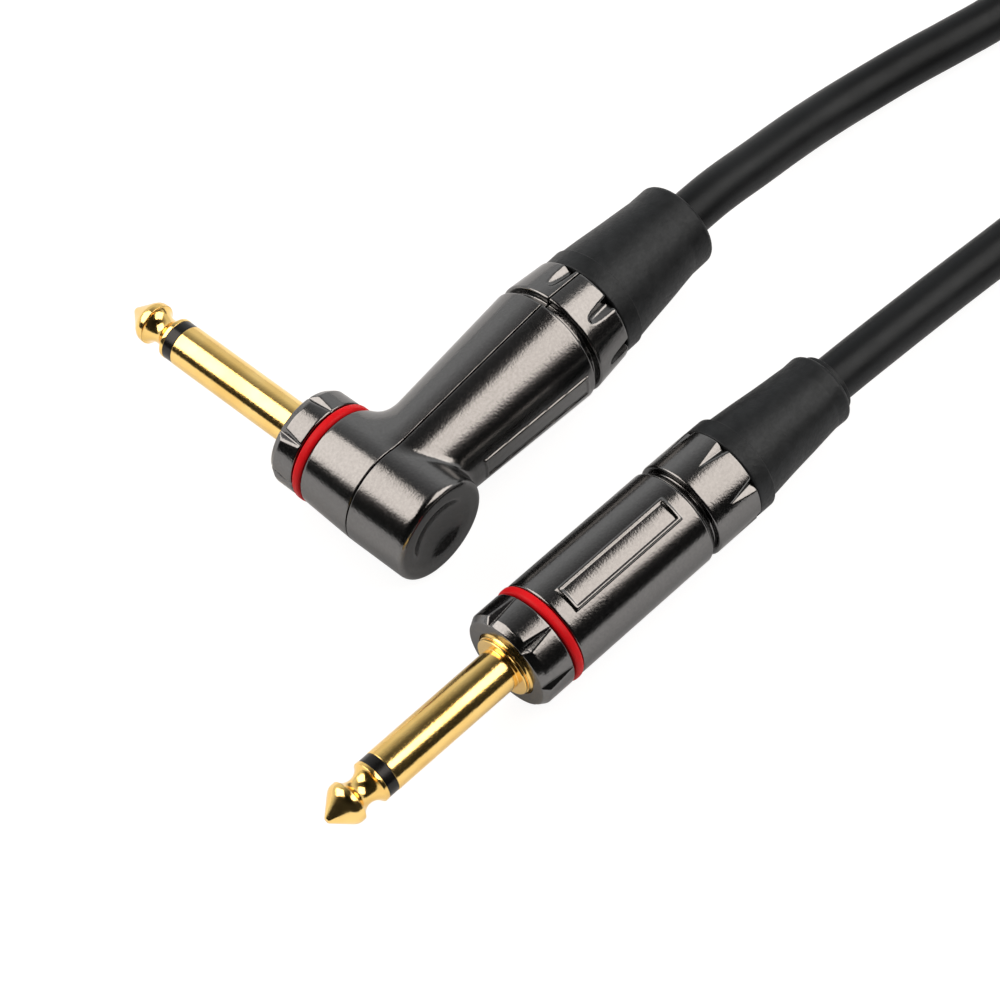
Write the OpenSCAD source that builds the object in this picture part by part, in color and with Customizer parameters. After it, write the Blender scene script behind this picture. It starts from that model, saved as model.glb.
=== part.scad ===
// Instrument cable: a straight plug and a right-angle plug on one round cable, lying on a table.
// Each plug is a clamped jack insert, a metal body, a gland that grips the cable and a rubber boot.

/* [Jack] */
// Diameter of the jack's sleeve
jack_d = 6.35; // [6.2:0.05:6.5]
// Length from the jack's point to the collar at the sleeve's end
jack_len = 32.2; // [31:0.1:33]
// Length of the tip contact from its point to the insulator band
tip_len = 8.65; // [7.5:0.05:10]
// Diameter of the ball behind the point
ball_d = 6.3; // [5.8:0.05:6.4]
// Distance from the point to the widest part of the ball
ball_at = 3.8; // [3.5:0.1:4.2]
// Rounding between the point's cone and the ball
ball_round = 1.4; // [0.6:0.1:2]
// Diameter of the neck behind the ball
neck_d = 4.1; // [3.6:0.1:4.6]
// Radius of the hollow that forms the neck
neck_hollow = 2.1; // [1.6:0.1:2.4]
// Width of the insulator band between tip and sleeve
band_w = 1.7; // [1.2:0.1:2.4]
// Depth of the insulator band below the sleeve's surface
band_depth = 0.05; // [0.02:0.01:0.2]
// Diameter of the rod that carries the tip's signal to the rear
rod_d = 2.8; // [2.2:0.1:3]
// Wall of the insulator tube round the rod
insulator_wall = 0.7; // [0.4:0.05:0.8]
// Diameter of the collar at the sleeve's end
jack_collar_d = 9; // [8:0.1:9.2]
// Height of the step that leads up to the shoulder in the nose nut
step_rise = 0.3; // [0.2:0.05:0.4]
// Length of the collar and of the step
step_len = 0.5; // [0.4:0.1:0.8]
// Thickness of the flange that the nose nut clamps
flange_t = 1.4; // [1:0.1:2]

/* [Lugs] */
// Thickness of the lugs' sheet metal
lug_t = 0.5; // [0.3:0.1:0.8]
// Gap between the ground lug's ring and the solder chamber
ground_lug_gap = 0.4; // [0.3:0.05:0.7]
// Length of the ground lug's tail
ground_tail_len = 6.5; // [5:0.5:7]
// Width of the ground lug's tail
ground_tail_w = 2.4; // [1.6:0.2:3]
// Gap between the ground lug's tail and the liner
ground_tail_gap = 0.27; // [0.17:0.01:0.47]
// Diameter of the rear insulator's hub in the ground lug
hub_d = 6; // [5.4:0.1:6.4]
// Gap between the rear insulator's flange and the ground lug's tail
hub_flange_gap = 0.4; // [0.2:0.05:0.7]
// Thickness of the rear insulator's flange
hub_flange_t = 0.7; // [0.5:0.1:1]
// Diameter of the tip lug's disc
tip_lug_d = 5.2; // [4.6:0.1:5.8]
// Length of the tip lug's solder cup
cup_len = 3.6; // [3:0.1:4.5]
// Wall of the tip lug's solder cup
cup_wall = 0.4; // [0.3:0.05:0.6]

/* [Nose nut] */
// Diameter of the nose nut
nut_d = 15.2; // [14.6:0.02:16]
// Length of the nose nut's head
nut_len = 5.5; // [4.5:0.1:7]
// Depth of the bevel at the nose nut's front
nut_bevel = 0.65; // [0.3:0.05:1]
// Length of the bevel at the nose nut's front
nut_bevel_len = 1.05; // [0.5:0.05:1.6]
// Wall of the nose nut's thread
nut_wall = 1.15; // [0.85:0.05:1.3]
// Length of the nose nut's thread in the body
thread_len = 6.3; // [5:0.1:7]
// Length of the notches in the nose nut
nut_notch_len = 5.1; // [3.5:0.1:5.3]
// How much farther back the nose nut's head and the shoulder start on the right-angle plug
angle_jack_extra = 1.1; // [0:0.1:1.5]
// Number of notches round a nut or collar
notch_count = 7; // [5:1:9]
// Depth of a notch at its open end
notch_depth = 0.95; // [0.5:0.05:1.1]
// Half of the angle between a notch's two faces
notch_half_angle = 46; // [35:1:60]
// Turn of the straight plug's nose nut
straight_nut_turn = 208; // [0:1:360]
// Turn of the right-angle plug's nose nut
angle_nut_turn = 128.6; // [0:0.1:360]

/* [Colour ring] */
// Outer diameter of the colour ring
ring_d = 15.5; // [15.1:0.02:16.4]
// Width of the colour ring
ring_w = 1.5; // [1:0.1:2.2]
// Rounding of the colour ring's outer edges
ring_round = 0.4; // [0.2:0.05:0.5]

/* [Straight plug] */
// Diameter of the barrel
barrel_d = 15.2; // [14.6:0.02:16]
// Wall of the barrel round the threads of the nose nut and the gland nut
barrel_wall = 1.25; // [1.1:0.01:1.4]
// Length of the barrel
barrel_len = 25; // [24:0.5:32]
// Rounding of the barrel's ends
barrel_round = 0.35; // [0.2:0.05:0.6]
// Step from the threads to the solder chamber in both plugs
chamber_step = 0.65; // [0.45:0.05:0.8]
// Wall of the insulating liner
liner_wall = 0.6; // [0.4:0.1:0.7]
// Diameter of the gland nut's collar
gland_d = 15.2; // [14.6:0.02:16]
// Length of the gland nut's collar
gland_len = 8.1; // [7.5:0.1:10]
// Depth of the groove between barrel and collar
groove_depth = 0.57; // [0.3:0.01:0.9]
// Width of the groove between barrel and collar
groove_w = 1.3; // [0.8:0.1:2]
// Length of the gland nut's thread in the barrel
gland_thread_len = 7; // [6:0.1:8]
// Length of the notches in the gland nut
gland_notch_len = 4.5; // [3:0.1:6]
// Turn of the gland nut
gland_turn = 235.7; // [0:0.1:360]

/* [Panels] */
// Length of the framed panel on each plug
panel_len = 20; // [14:0.5:21]
// Width of the framed panel
panel_w = 4; // [3:0.1:5]
// Width of the panel's frame
panel_rim = 0.45; // [0.3:0.05:0.8]
// Height of the panel's frame
panel_height = 0.2; // [0.1:0.02:0.3]
// Distance from the straight barrel's front to the panel
straight_panel_at = 2.5; // [1.5:0.1:3.5]
// Turn of the panel on the straight barrel
straight_panel_turn = 197.4; // [0:0.1:360]
// Distance from the jack's axis to the panel on the right-angle plug
angle_panel_at = 11.5; // [10.5:0.1:12]

/* [Right-angle plug] */
// Distance from the jack's axis to the front of the stub
stub_front = 9.3; // [9:0.1:12]
// Diameter of the stub at its front
stub_front_d = 15.2; // [14.6:0.1:16]
// Diameter of the stub at its back
stub_d = 16.2; // [15.4:0.1:17]
// Distance from the barrel's axis to the stub's end face
stub_back = 10.4; // [10:0.1:13]
// Rounding of the stub's end
stub_round = 0.9; // [0.5:0.1:1.4]
// Diameter of the dish in the stub's end
dish_d = 10.6; // [8:0.1:12]
// Depth of the dish in the stub's end
dish_depth = 0.9; // [0.5:0.1:1.2]
// Thickness of the stub's end behind the dish
end_wall = 1.8; // [1.4:0.1:2.4]
// Diameter of the right-angle barrel at the jack's axis
elbow_d = 14.7; // [13.6:0.1:15]
// Diameter of the right-angle barrel at its rear
elbow_back_d = 18.9; // [17.6:0.1:19.2]
// Length of the right-angle barrel from the jack's axis
elbow_len = 32.8; // [32.5:0.1:36]
// Width of the groove before the rear collar
elbow_groove_w = 1.2; // [0.8:0.1:1.8]
// Depth of the groove before the rear collar
elbow_groove_depth = 1.1; // [0.3:0.1:1.4]
// Diameter of the rear collar at its front
collar_front_d = 18.8; // [18:0.1:19.4]
// Diameter of the rear collar at its back
collar_back_d = 17.5; // [16.8:0.1:18]
// Length of the rear collar
collar_len = 6.7; // [6:0.1:8]
// Length of the notches in the rear collar
collar_notch_len = 4.6; // [3:0.1:5]
// Turn of the rear collar's notches
collar_turn = 219.6; // [0:0.1:360]
// Diameter of the split neck's thread
neck_thread_d = 12.1; // [11.9:0.1:12.4]
// Length of the split neck
neck_len = 6.6; // [6:0.1:8]
// Wall of the gland nut on the split neck
neck_nut_wall = 0.8; // [0.6:0.05:0.9]
// Diameter of the pegs that line up the two shells
peg_d = 1.4; // [1:0.1:1.6]
// Length of the pegs
peg_len = 1.8; // [1.2:0.1:2.4]

/* [Boots] */
// Diameter of the straight boot's band
boot_band_d = 15; // [14.4:0.1:15.2]
// Length of the straight boot's band
boot_band_len = 3.15; // [2:0.05:5]
// Diameter of the straight boot behind its band
boot_d = 13.8; // [13:0.1:14.4]
// Diameter of the straight boot near its end
boot_end_d = 11.3; // [10.6:0.1:12]
// Length of the straight boot behind its band
boot_len = 17.3; // [14:0.1:24]
// Diameter of the lip at the straight boot's mouth
lip_d = 9.3; // [9:0.1:9.4]
// Length of the lip at the straight boot's mouth
lip_len = 1; // [0.5:0.1:2]
// Length of the straight boot's even end
boot_end_len = 2.6; // [1.5:0.1:4]
// Diameter of the right-angle boot's band
angle_band_d = 17; // [16.2:0.1:17.4]
// Length of the right-angle boot's band
angle_band_len = 3; // [2:0.1:4]
// Diameter of the right-angle boot behind its band
angle_boot_d = 16.5; // [15.8:0.1:16.6]
// Diameter of the right-angle boot near its end
angle_boot_end_d = 13.7; // [12.8:0.1:14]
// Length of the right-angle boot behind its band
angle_boot_len = 17.6; // [15:0.1:24]
// Length of the right-angle boot's even end
angle_boot_end_len = 3.3; // [1.5:0.1:4]
// Rounding of the boots' ends
boot_round = 0.8; // [0.4:0.1:0.8]
// Diameter of the boots' mouths
mouth_d = 8.4; // [8.2:0.1:8.6]
// Length of the boots' mouths
mouth_len = 7; // [5:0.5:9]

/* [Chucks] */
// Wall of the straight plug's chuck
straight_chuck_wall = 1.57; // [1.4:0.01:1.75]
// Outer diameter of the right-angle plug's chuck
angle_chuck_d = 9.7; // [9.4:0.1:9.9]
// Length of the chucks from the front to the cone
chuck_len = 8; // [7:0.1:9]
// Length of the chucks' cone
cone_len = 2.4; // [1.8:0.1:3]
// Diameter of the chucks' tail in the gland nut's wall
tail_d = 8.2; // [8:0.1:8.4]
// Diameter of the hook behind the gland nut's wall
hook_d = 8.8; // [8.6:0.1:9]
// Length of the hook
hook_len = 0.7; // [0.5:0.1:1]
// Thickness of the gland nuts' inner wall
gland_wall = 0.9; // [0.7:0.1:1.2]
// Width of the chucks' slots
slot_w = 0.8; // [0.5:0.1:1]
// Length of the chucks' slots before the cone
slot_len = 5; // [3:0.5:6]

/* [Cable] */
// Diameter of the cable
cable_d = 7; // [6.6:0.1:7]
// Diameter of the dielectric
dielectric_d = 4; // [3:0.1:4.2]
// Diameter of the conductor
conductor_d = 1.2; // [0.8:0.1:1.3]
// Diameter of the twisted shield
shield_d = 0.9; // [0.6:0.1:1]
// Length of the bared dielectric in the straight plug
straight_bared = 3; // [2:0.1:4]
// Length of the bared dielectric in the right-angle plug
angle_bared = 20; // [14:1:24]
// Turns in the coil of cable
coil_turns = 10.7; // [8.7:1:11.7]
// Radius of the coil's outermost turn, to the cable's middle
coil_r = 50.6; // [46:0.1:56]
// Gap between neighbouring turns
coil_gap = 0.5; // [0.45:0.05:1]
// Thickness of the ties
tie_t = 0.8; // [0.5:0.1:1.2]
// Width of the ties
tie_w = 10; // [6:1:14]

/* [Layout] */
// Angle from the straight plug's axis to the right-angle barrel's axis
angle_yaw = 3; // [0:0.1:5]

/* [Hidden] */

// Colours
gunmetal = "#4b4947";
gold = "#d8ab45";
black = "#1b1b1c";
red = "#d0191e";
white = "#e4e1da";
copper = "#b5703c";
tin = "#b9bcbf";

// Fits: a seat in the same body, a running fit, and the gap between faces that only meet
fit = 0.03;
run = 0.1;
face_gap = 0.05;
ring_gap = 0.15;
chuck_room = 1;
// How far a cutting shape reaches past what it cuts
past = 1;
round_steps = 6;
$fn = 64;

// Radii
jack_r = jack_d / 2;
rod_r = rod_d / 2;
thread_r = barrel_d / 2 - barrel_wall - run;
chamber_r = thread_r - chamber_step;
shoulder_r = thread_r - nut_wall - run;
step_r = shoulder_r - step_rise;
cable_r = cable_d / 2;
straight_chuck_r = cable_r + fit + straight_chuck_wall;
tube_r = rod_r + fit + insulator_wall;
flange_r = thread_r + run - fit;
boot_bore_r = cable_r + 3 * run;
// The ground lug in its chamber, and the rear insulator inside its tail
ground_lug_r = chamber_r - ground_lug_gap;
ground_tail_at = chamber_r - fit - liner_wall - ground_tail_gap - lug_t;
hub_flange_r = ground_tail_at - hub_flange_gap;
// The shield's twisted end and its solder on the ground lug's tail
solder_r = shield_d;
solder_len = 2 * shield_d;
shield_at = ground_tail_at - shield_d / 2 - fit;
shield_out = (dielectric_d / 2 + cable_r) / 2;
// Sides of the plugs on which the ground lugs' tails lie
straight_side = -90;
angle_side = 90;

// Places along a jack's axis, from its point to the rear
band_end = tip_len + band_w;
step_at = jack_len + step_len;
shoulder_at = step_at + step_len;
nut_front = shoulder_at - ring_gap;
nut_back = nut_front + nut_len;
ring_front = nut_back + ring_gap;
ring_back = ring_front + ring_w;
body_front = ring_back + face_gap;
flange_front = body_front + thread_len;
flange_back = flange_front + flange_t;
ground_lug_back = flange_back + lug_t;
hub_back = ground_lug_back + face_gap + hub_flange_t;
tip_lug_front = hub_back + face_gap;
rod_end = tip_lug_front + lug_t + fit;
cup_end = tip_lug_front + lug_t + cup_len;
ground_tail_end = ground_lug_back + ground_tail_len;
solder_mid = ground_tail_end - solder_len;
neck_at = (ball_at + tip_len) / 2;

// Places along the straight plug's axis
barrel_back = body_front + barrel_len;
gland_front = barrel_back - gland_thread_len;
chamber_end = gland_front - chuck_room;
collar_at = barrel_back + face_gap + groove_w;
collar_back = collar_at + gland_len;
straight_cone_at = gland_front + chuck_len;
straight_wall_at = straight_cone_at + cone_len;
straight_wall_back = straight_wall_at + gland_wall;
boot_band_at = collar_back + face_gap;
boot_at = boot_band_at + boot_band_len;
boot_end = boot_at + boot_len;
straight_len = boot_end + lip_len;
straight_jacket_end = chamber_end - fit;

// Places along the right-angle barrel's axis, from the jack's axis to the rear
collar2_at = elbow_len + elbow_groove_w;
collar2_back = collar2_at + collar_len;
neck_end = collar2_back + neck_len;
angle_cone_at = neck_end + face_gap;
angle_wall_at = angle_cone_at + cone_len;
angle_nut_back = angle_wall_at + gland_wall;
angle_nut_r = neck_thread_d / 2 + run + neck_nut_wall;
angle_chuck_front = angle_cone_at - chuck_len;
angle_band_at = collar2_back + face_gap;
angle_boot_at = angle_band_at + angle_band_len;
angle_len = angle_boot_at + angle_boot_len;
angle_jacket_end = angle_chuck_front - chuck_room;
jack_reach = body_front + stub_front;
elbow_slope = (elbow_back_d - elbow_d) / 2 / elbow_len;

// Where the two boots' mouths lie on the table, before the origin moves to the middle of the plugs
straight_mouth = [44.9, -36.4];
angle_mouth = [50.65, -2.3];
straight_z = max(ring_d, barrel_d, nut_d, gland_d, boot_band_d) / 2;
angle_z = max(collar_front_d, elbow_back_d, stub_d) / 2;
angle_dir = [cos(angle_yaw), sin(angle_yaw)];
straight_tip = [straight_mouth.x - straight_len, straight_mouth.y];
elbow = angle_mouth - angle_len * angle_dir;
box_low = [straight_tip.x, straight_tip.y - straight_z];
box_high = [
    max(straight_mouth.x, angle_mouth.x + angle_boot_end_d / 2 * angle_dir.y),
    elbow.y + jack_reach * angle_dir.x
];
middle = (box_low + box_high) / 2;

// The cable's route, from inside each plug to its end of the coil
straight_in = [for (u = [straight_jacket_end, boot_at, boot_end - mouth_len])
    [straight_tip.x + u, straight_tip.y, straight_z]];
straight_route = concat(straight_in, [
    [48, -36.4, 7.2], [56, -36.3, 6.3], [64, -36.2, 5.3], [72, -36.2, 4.4], [82, -36.5, 3.7],
    [94, -37, 3.5], [104, -37, 3.5], [112, -37.1, 3.9], [119.5, -37.8, 5.7], [126, -39.2, 8.8],
    [132.5, -41.2, 13.4], [139, -43.3, 19.2], [146, -45.5, 23.5], [153.5, -47.8, 26],
    [161.4, -50.2, 26.8], [171, -53.1, 26.9]
]);
angle_in = [for (v = [angle_jacket_end, angle_boot_at, angle_len - mouth_len])
    [elbow.x + v * angle_dir.x, elbow.y + v * angle_dir.y, angle_z]];
angle_route = concat(angle_in, [
    [54.8, -2.1, 9.1], [59.8, -1.8, 8.5], [67.8, -1.5, 7], [75.8, -1.1, 5.4], [83.8, -1.1, 4],
    [91.8, -2, 3.5], [99.8, -3.4, 3.5], [107.8, -5.1, 3.5], [115.8, -6.6, 3.5], [126.5, -7.2, 3.5],
    [137, -4.9, 3.6],
    [146.3, 0.3, 3.9], [152, 5.7, 4.2]
]);

// The coil: four layers that spiral in and out by turns, each half a turn of climb to the next
coil_middle = [203, -10];
coil_layers = 4;
coil_pitch = cable_d + coil_gap;
coil_start_angle = 145;
loop_rings = 24;
coil_sides = 6;
lead_sides = 12;
wire_sides = 8;
coil_low = tie_t + face_gap + cable_r;
layer_turns = coil_turns / coil_layers;
climb_turns = 0.5;
tie_round = 2;

function coil_radius(t) = let (k = floor(t / layer_turns), f = t - k * layer_turns)
    coil_r - coil_pitch * (k % 2 == 0 ? f : layer_turns - f);
function climb(t, k) = let (f = (t - k * layer_turns) / climb_turns + 0.5)
    f <= 0 ? 0 : f >= 1 ? 1 : f * f * (3 - 2 * f);
function coil_height(t) = coil_low
    + coil_pitch * (climb(t, 1) + climb(t, 2) + climb(t, 3));
function coil_angle(t) = coil_start_angle - 360 * t;
function coil_point(t) = let (a = coil_angle(t), r = coil_radius(t))
    [coil_middle.x + r * cos(a), coil_middle.y + r * sin(a), coil_height(t)];
function coil_heading(t) = [sin(coil_angle(t)), -cos(coil_angle(t)), 0];
coil_steps = ceil(coil_turns * loop_rings);
coil_body = [for (i = [0:coil_steps]) coil_point(coil_turns * i / coil_steps)];
coil_start = coil_point(0) - cable_d * coil_heading(0);
coil_end = coil_point(coil_turns) + cable_d * coil_heading(coil_turns);
coil_points = concat([coil_start], coil_body, [coil_end]);

// Least gap between turns that are at least half a loop apart along the cable
coil_self_gap = min([for (i = [0:coil_steps]) for (j = [i + loop_rings / 2:1:coil_steps])
    norm(coil_body[i] - coil_body[j])]) - cable_d;
function path_length(p) = len(p) < 2 ? 0 : sum_steps(p, len(p) - 1);
function sum_steps(p, i) = i == 0 ? 0 : norm(p[i] - p[i - 1]) + sum_steps(p, i - 1);
square_end = 2;
straight_path = concat(straight_route, [coil_end + square_end * coil_heading(coil_turns), coil_end]);
angle_path = concat(angle_route, [coil_start - square_end * coil_heading(0), coil_start]);
echo(coil_self_gap = coil_self_gap);
echo(cable_length = path_length(straight_path) + path_length(angle_path) + path_length(coil_points));

// Points of an arc round [x, y], from angle a to angle b
function arc(x, y, r, a, b) = [for (i = [0:round_steps])
    let (t = a + (b - a) * i / round_steps) [x + r * cos(t), y + r * sin(t)]];

// Rings of a tube along a path, and the triangles between them
function unit(v) = v / norm(v);
function heading(p, i) = unit(p[min(i + 1, len(p) - 1)] - p[max(i - 1, 0)]);
function tube_points(p, r, sides) = [for (i = [0:len(p) - 1])
    let (t = heading(p, i), a = unit(cross([0, 0, 1], t)), b = cross(t, a))
    for (j = [0:sides - 1]) p[i] + r * (cos(360 * j / sides) * a + sin(360 * j / sides) * b)];
function tube_faces(rings, sides) = concat(
    [[for (j = [0:sides - 1]) j]],
    [for (i = [0:rings - 2]) for (j = [0:sides - 1])
        let (a = i * sides + j, b = i * sides + (j + 1) % sides)
        each [[a, a + sides, b], [b, a + sides, b + sides]]],
    [[for (j = [sides - 1:-1:0]) (rings - 1) * sides + j]]
);
module tube(path, r, sides) {
    polyhedron(tube_points(path, r, sides), tube_faces(len(path), sides), convexity = 10);
}

// Frames: the straight plug's axis, the right-angle barrel's axis and the right-angle jack's axis
module on_table() {
    translate([-middle.x, -middle.y, 0]) children();
}
module straight_frame() {
    on_table() translate([straight_tip.x, straight_tip.y, straight_z]) children();
}
module straight_axis() {
    straight_frame() rotate([0, 90, 0]) children();
}
module elbow_frame() {
    on_table() translate([elbow.x, elbow.y, angle_z]) rotate([0, 0, angle_yaw]) children();
}
module angle_axis() {
    elbow_frame() rotate([0, 90, 0]) children();
}
module angle_jack_axis() {
    elbow_frame() translate([0, jack_reach, 0]) rotate([90, 0, 0]) children();
}

// Shared shapes
module pipe(r, bore_r, from, to) {
    translate([0, 0, from]) difference() {
        cylinder(r = r, h = to - from);
        translate([0, 0, -past]) cylinder(r = bore_r, h = to - from + 2 * past);
    }
}
// Notches that start at a point on radius r and fall by depth to their open end
module notches(r, apex, open, depth, turn) {
    tilt = atan(depth / abs(open - apex));
    high = depth + past;
    for (k = [0:notch_count - 1])
        rotate([0, 0, turn + 360 * k / notch_count]) translate([r, 0, apex])
            mirror([0, 0, open < apex ? 1 : 0]) rotate([0, -tilt, 0]) translate([0, 0, -past])
                linear_extrude(height = abs(open - apex) + 3 * past)
                    polygon([[0, 0], [high, high * tan(notch_half_angle)],
                        [high, -high * tan(notch_half_angle)]]);
}
// A frame on a round surface, cut from a solid that stands proud of the surface by the frame's height
module panel_frame(from, turn, reach) {
    intersection() {
        children();
        rotate([0, 0, turn]) translate([0, -panel_w / 2, from]) difference() {
            cube([reach, panel_w, panel_len]);
            translate([-past, panel_rim, panel_rim])
                cube([reach + 2 * past, panel_w - 2 * panel_rim, panel_len - 2 * panel_rim]);
        }
    }
}

// The jack insert
module tip_contact() {
    round_x = ball_d / 2 - ball_round;
    cone_angle = atan(round_x / ball_at) + asin(ball_round / norm([round_x, ball_at]));
    color(gold) rotate_extrude() difference() {
        polygon(concat(
            [[0, 0]],
            arc(round_x, ball_at, ball_round, -cone_angle, 0),
            [[ball_d / 2, neck_at], [jack_r, neck_at], [jack_r, tip_len], [rod_r, tip_len],
                [rod_r, rod_end], [0, rod_end]]
        ));
        translate([neck_d / 2 + neck_hollow, neck_at]) circle(r = neck_hollow);
    }
}
module insulator() {
    color(black) rotate_extrude() polygon([
        [rod_r + fit, tip_len], [jack_r - band_depth, tip_len], [jack_r - band_depth, band_end],
        [tube_r, band_end], [tube_r, flange_back], [rod_r + fit, flange_back]
    ]);
}
// The sleeve, whose collar, step and shoulder start farther back by extra
module sleeve(extra = 0) {
    color(gold) rotate_extrude() polygon([
        [tube_r + fit, band_end], [jack_r, band_end], [jack_r, jack_len + extra],
        [jack_collar_d / 2, jack_len + extra], [jack_collar_d / 2, step_at + extra],
        [step_r, step_at + extra], [step_r, shoulder_at + extra], [shoulder_r, shoulder_at + extra],
        [shoulder_r, flange_front], [flange_r, flange_front],
        [flange_r, flange_back], [tube_r + fit, flange_back]
    ]);
}
module rear_insulator() {
    color(white) rotate_extrude() polygon([
        [rod_r + fit, flange_back], [hub_d / 2, flange_back], [hub_d / 2, ground_lug_back + face_gap],
        [hub_flange_r, ground_lug_back + face_gap], [hub_flange_r, hub_back],
        [rod_r + fit, hub_back]
    ]);
}
// A ring against the flange, with a tail on the side given by turn
module ground_lug(turn) {
    color(tin) {
        pipe(ground_lug_r, hub_d / 2 + fit, flange_back, ground_lug_back);
        rotate([0, 0, turn]) translate([ground_tail_at, -ground_tail_w / 2, flange_back])
            cube([lug_t, ground_tail_w, ground_tail_end - flange_back]);
    }
}
// A disc on the rod's end with a trough that is open to one side
module tip_lug() {
    cup_r = rod_r + fit + cup_wall;
    color(tin) difference() {
        union() {
            translate([0, 0, tip_lug_front]) cylinder(r = tip_lug_d / 2, h = lug_t);
            translate([0, 0, tip_lug_front]) cylinder(r = cup_r, h = cup_end - tip_lug_front);
        }
        translate([0, 0, tip_lug_front - past])
            cylinder(r = rod_r + fit, h = cup_end - tip_lug_front + 2 * past);
        translate([0, -cup_r - past, tip_lug_front + lug_t])
            cube([cup_r + past, 2 * (cup_r + past), cup_len + past]);
    }
}
// Solder that fills the bottom of the trough, round the conductor
module tip_solder() {
    color(tin) difference() {
        translate([0, 0, rod_end + fit]) cylinder(r = rod_r, h = cup_end - rod_end - 2 * fit);
        translate([0, -2 * rod_r, rod_end - past])
            cube([2 * rod_r, 4 * rod_r, cup_end - rod_end + 2 * past]);
        translate([0, 0, rod_end - past]) cylinder(r = conductor_d / 2 + fit, h = cup_end);
    }
}
// Solder round the shield's end under the ground lug's tail, along the tail or across it
module ground_solder(turn, across) {
    color(tin) rotate([0, 0, turn]) difference() {
        translate([shield_at, 0, solder_mid]) rotate([across, 0, 0])
            cylinder(r = solder_r, h = solder_len, center = true);
        translate([shield_at, 0, solder_mid]) rotate([across, 0, 0])
            cylinder(r = shield_d / 2 + 2 * fit, h = solder_len + 2 * past, center = true);
        translate([ground_tail_at, -solder_len, solder_mid - solder_len])
            cube([solder_r + past, 2 * solder_len, 2 * solder_len]);
    }
}

// The nose nut and its ring
module nose_nut(turn, extra = 0) {
    nut_r = nut_d / 2;
    front = nut_front + extra;
    color(gunmetal) difference() {
        rotate_extrude() polygon([
            [shoulder_r + run, front], [nut_r - nut_bevel, front],
            [nut_r, front + nut_bevel_len], [nut_r, nut_back], [thread_r, nut_back],
            [thread_r, flange_front - face_gap], [shoulder_r + run, flange_front - face_gap]
        ]);
        notches(nut_r, nut_front + nut_notch_len, front, notch_depth, turn);
    }
}
module colour_ring() {
    ring_r = ring_d / 2;
    color(red) rotate_extrude() polygon(concat(
        [[thread_r + run / 2, ring_back], [thread_r + run / 2, ring_front]],
        arc(ring_r - ring_round, ring_front + ring_round, ring_round, -90, 0),
        arc(ring_r - ring_round, ring_back - ring_round, ring_round, 0, 90)
    ));
}

// The chuck: a slotted tube with a cone and a hook that snaps behind the gland nut's wall
module chuck(r, front, cone_at) {
    wall_at = cone_at + cone_len;
    hook_at = wall_at + gland_wall + face_gap;
    hook_end = hook_at + hook_len;
    color(white) difference() {
        rotate_extrude() polygon([
            [cable_r + fit, front], [r, front], [r, cone_at], [tail_d / 2, wall_at],
            [tail_d / 2, hook_at], [hook_d / 2, hook_at], [hook_d / 2, hook_end],
            [cable_r + fit, hook_end]
        ]);
        for (turn = [0, 90]) rotate([0, 0, turn])
            translate([-r - past, -slot_w / 2, cone_at - slot_len])
                cube([2 * (r + past), slot_w, hook_end - cone_at + slot_len + past]);
    }
}

// The straight plug
module straight_tip_contact() {
    straight_axis() tip_contact();
}
module straight_insulator() {
    straight_axis() insulator();
}
module straight_sleeve() {
    straight_axis() sleeve();
}
module straight_rear_insulator() {
    straight_axis() rear_insulator();
}
module straight_ground_lug() {
    straight_axis() ground_lug(straight_side);
}
module straight_tip_lug() {
    straight_axis() tip_lug();
}
module straight_nose_nut() {
    straight_axis() nose_nut(straight_nut_turn);
}
module straight_colour_ring() {
    straight_axis() colour_ring();
}
module straight_barrel() {
    barrel_r = barrel_d / 2;
    bore_r = thread_r + run;
    color(gunmetal) straight_axis() difference() {
        union() {
            rotate_extrude() polygon(concat(
                arc(barrel_r - barrel_round, body_front + barrel_round, barrel_round, -90, 0),
                arc(barrel_r - barrel_round, barrel_back - barrel_round, barrel_round, 0, 90),
                [[0, barrel_back], [0, body_front]]
            ));
            panel_frame(body_front + straight_panel_at, straight_panel_turn, barrel_d)
                translate([0, 0, body_front]) cylinder(r = barrel_r + panel_height, h = barrel_len);
        }
        translate([0, 0, body_front - past]) cylinder(r = bore_r, h = flange_back - body_front + past);
        translate([0, 0, flange_back - past]) cylinder(r = chamber_r, h = barrel_len);
        translate([0, 0, chamber_end]) cylinder(r = bore_r, h = barrel_back - chamber_end + past);
    }
}
module straight_liner() {
    color(white) straight_axis()
        pipe(chamber_r - fit, chamber_r - fit - liner_wall, ground_lug_back + face_gap, chamber_end);
}
module straight_chuck() {
    straight_axis() chuck(straight_chuck_r, gland_front, straight_cone_at);
}
module straight_gland_nut() {
    gland_r = gland_d / 2;
    groove_r = barrel_d / 2 - groove_depth;
    bore_r = straight_chuck_r + run;
    wall_r = tail_d / 2 + run;
    color(gunmetal) straight_axis() difference() {
        rotate_extrude() polygon(concat(
            [[bore_r, gland_front], [thread_r, gland_front], [thread_r, barrel_back + face_gap],
                [groove_r, barrel_back + face_gap], [groove_r, collar_at]],
            arc(gland_r - barrel_round, collar_at + barrel_round, barrel_round, -90, 0),
            arc(gland_r - barrel_round, collar_back - barrel_round, barrel_round, 0, 90),
            [[thread_r - fit, collar_back], [thread_r - fit, straight_wall_back],
                [wall_r, straight_wall_back], [wall_r, straight_wall_at], [bore_r, straight_cone_at]]
        ));
        notches(gland_r, collar_back - gland_notch_len, collar_back, notch_depth, gland_turn);
    }
}
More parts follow.
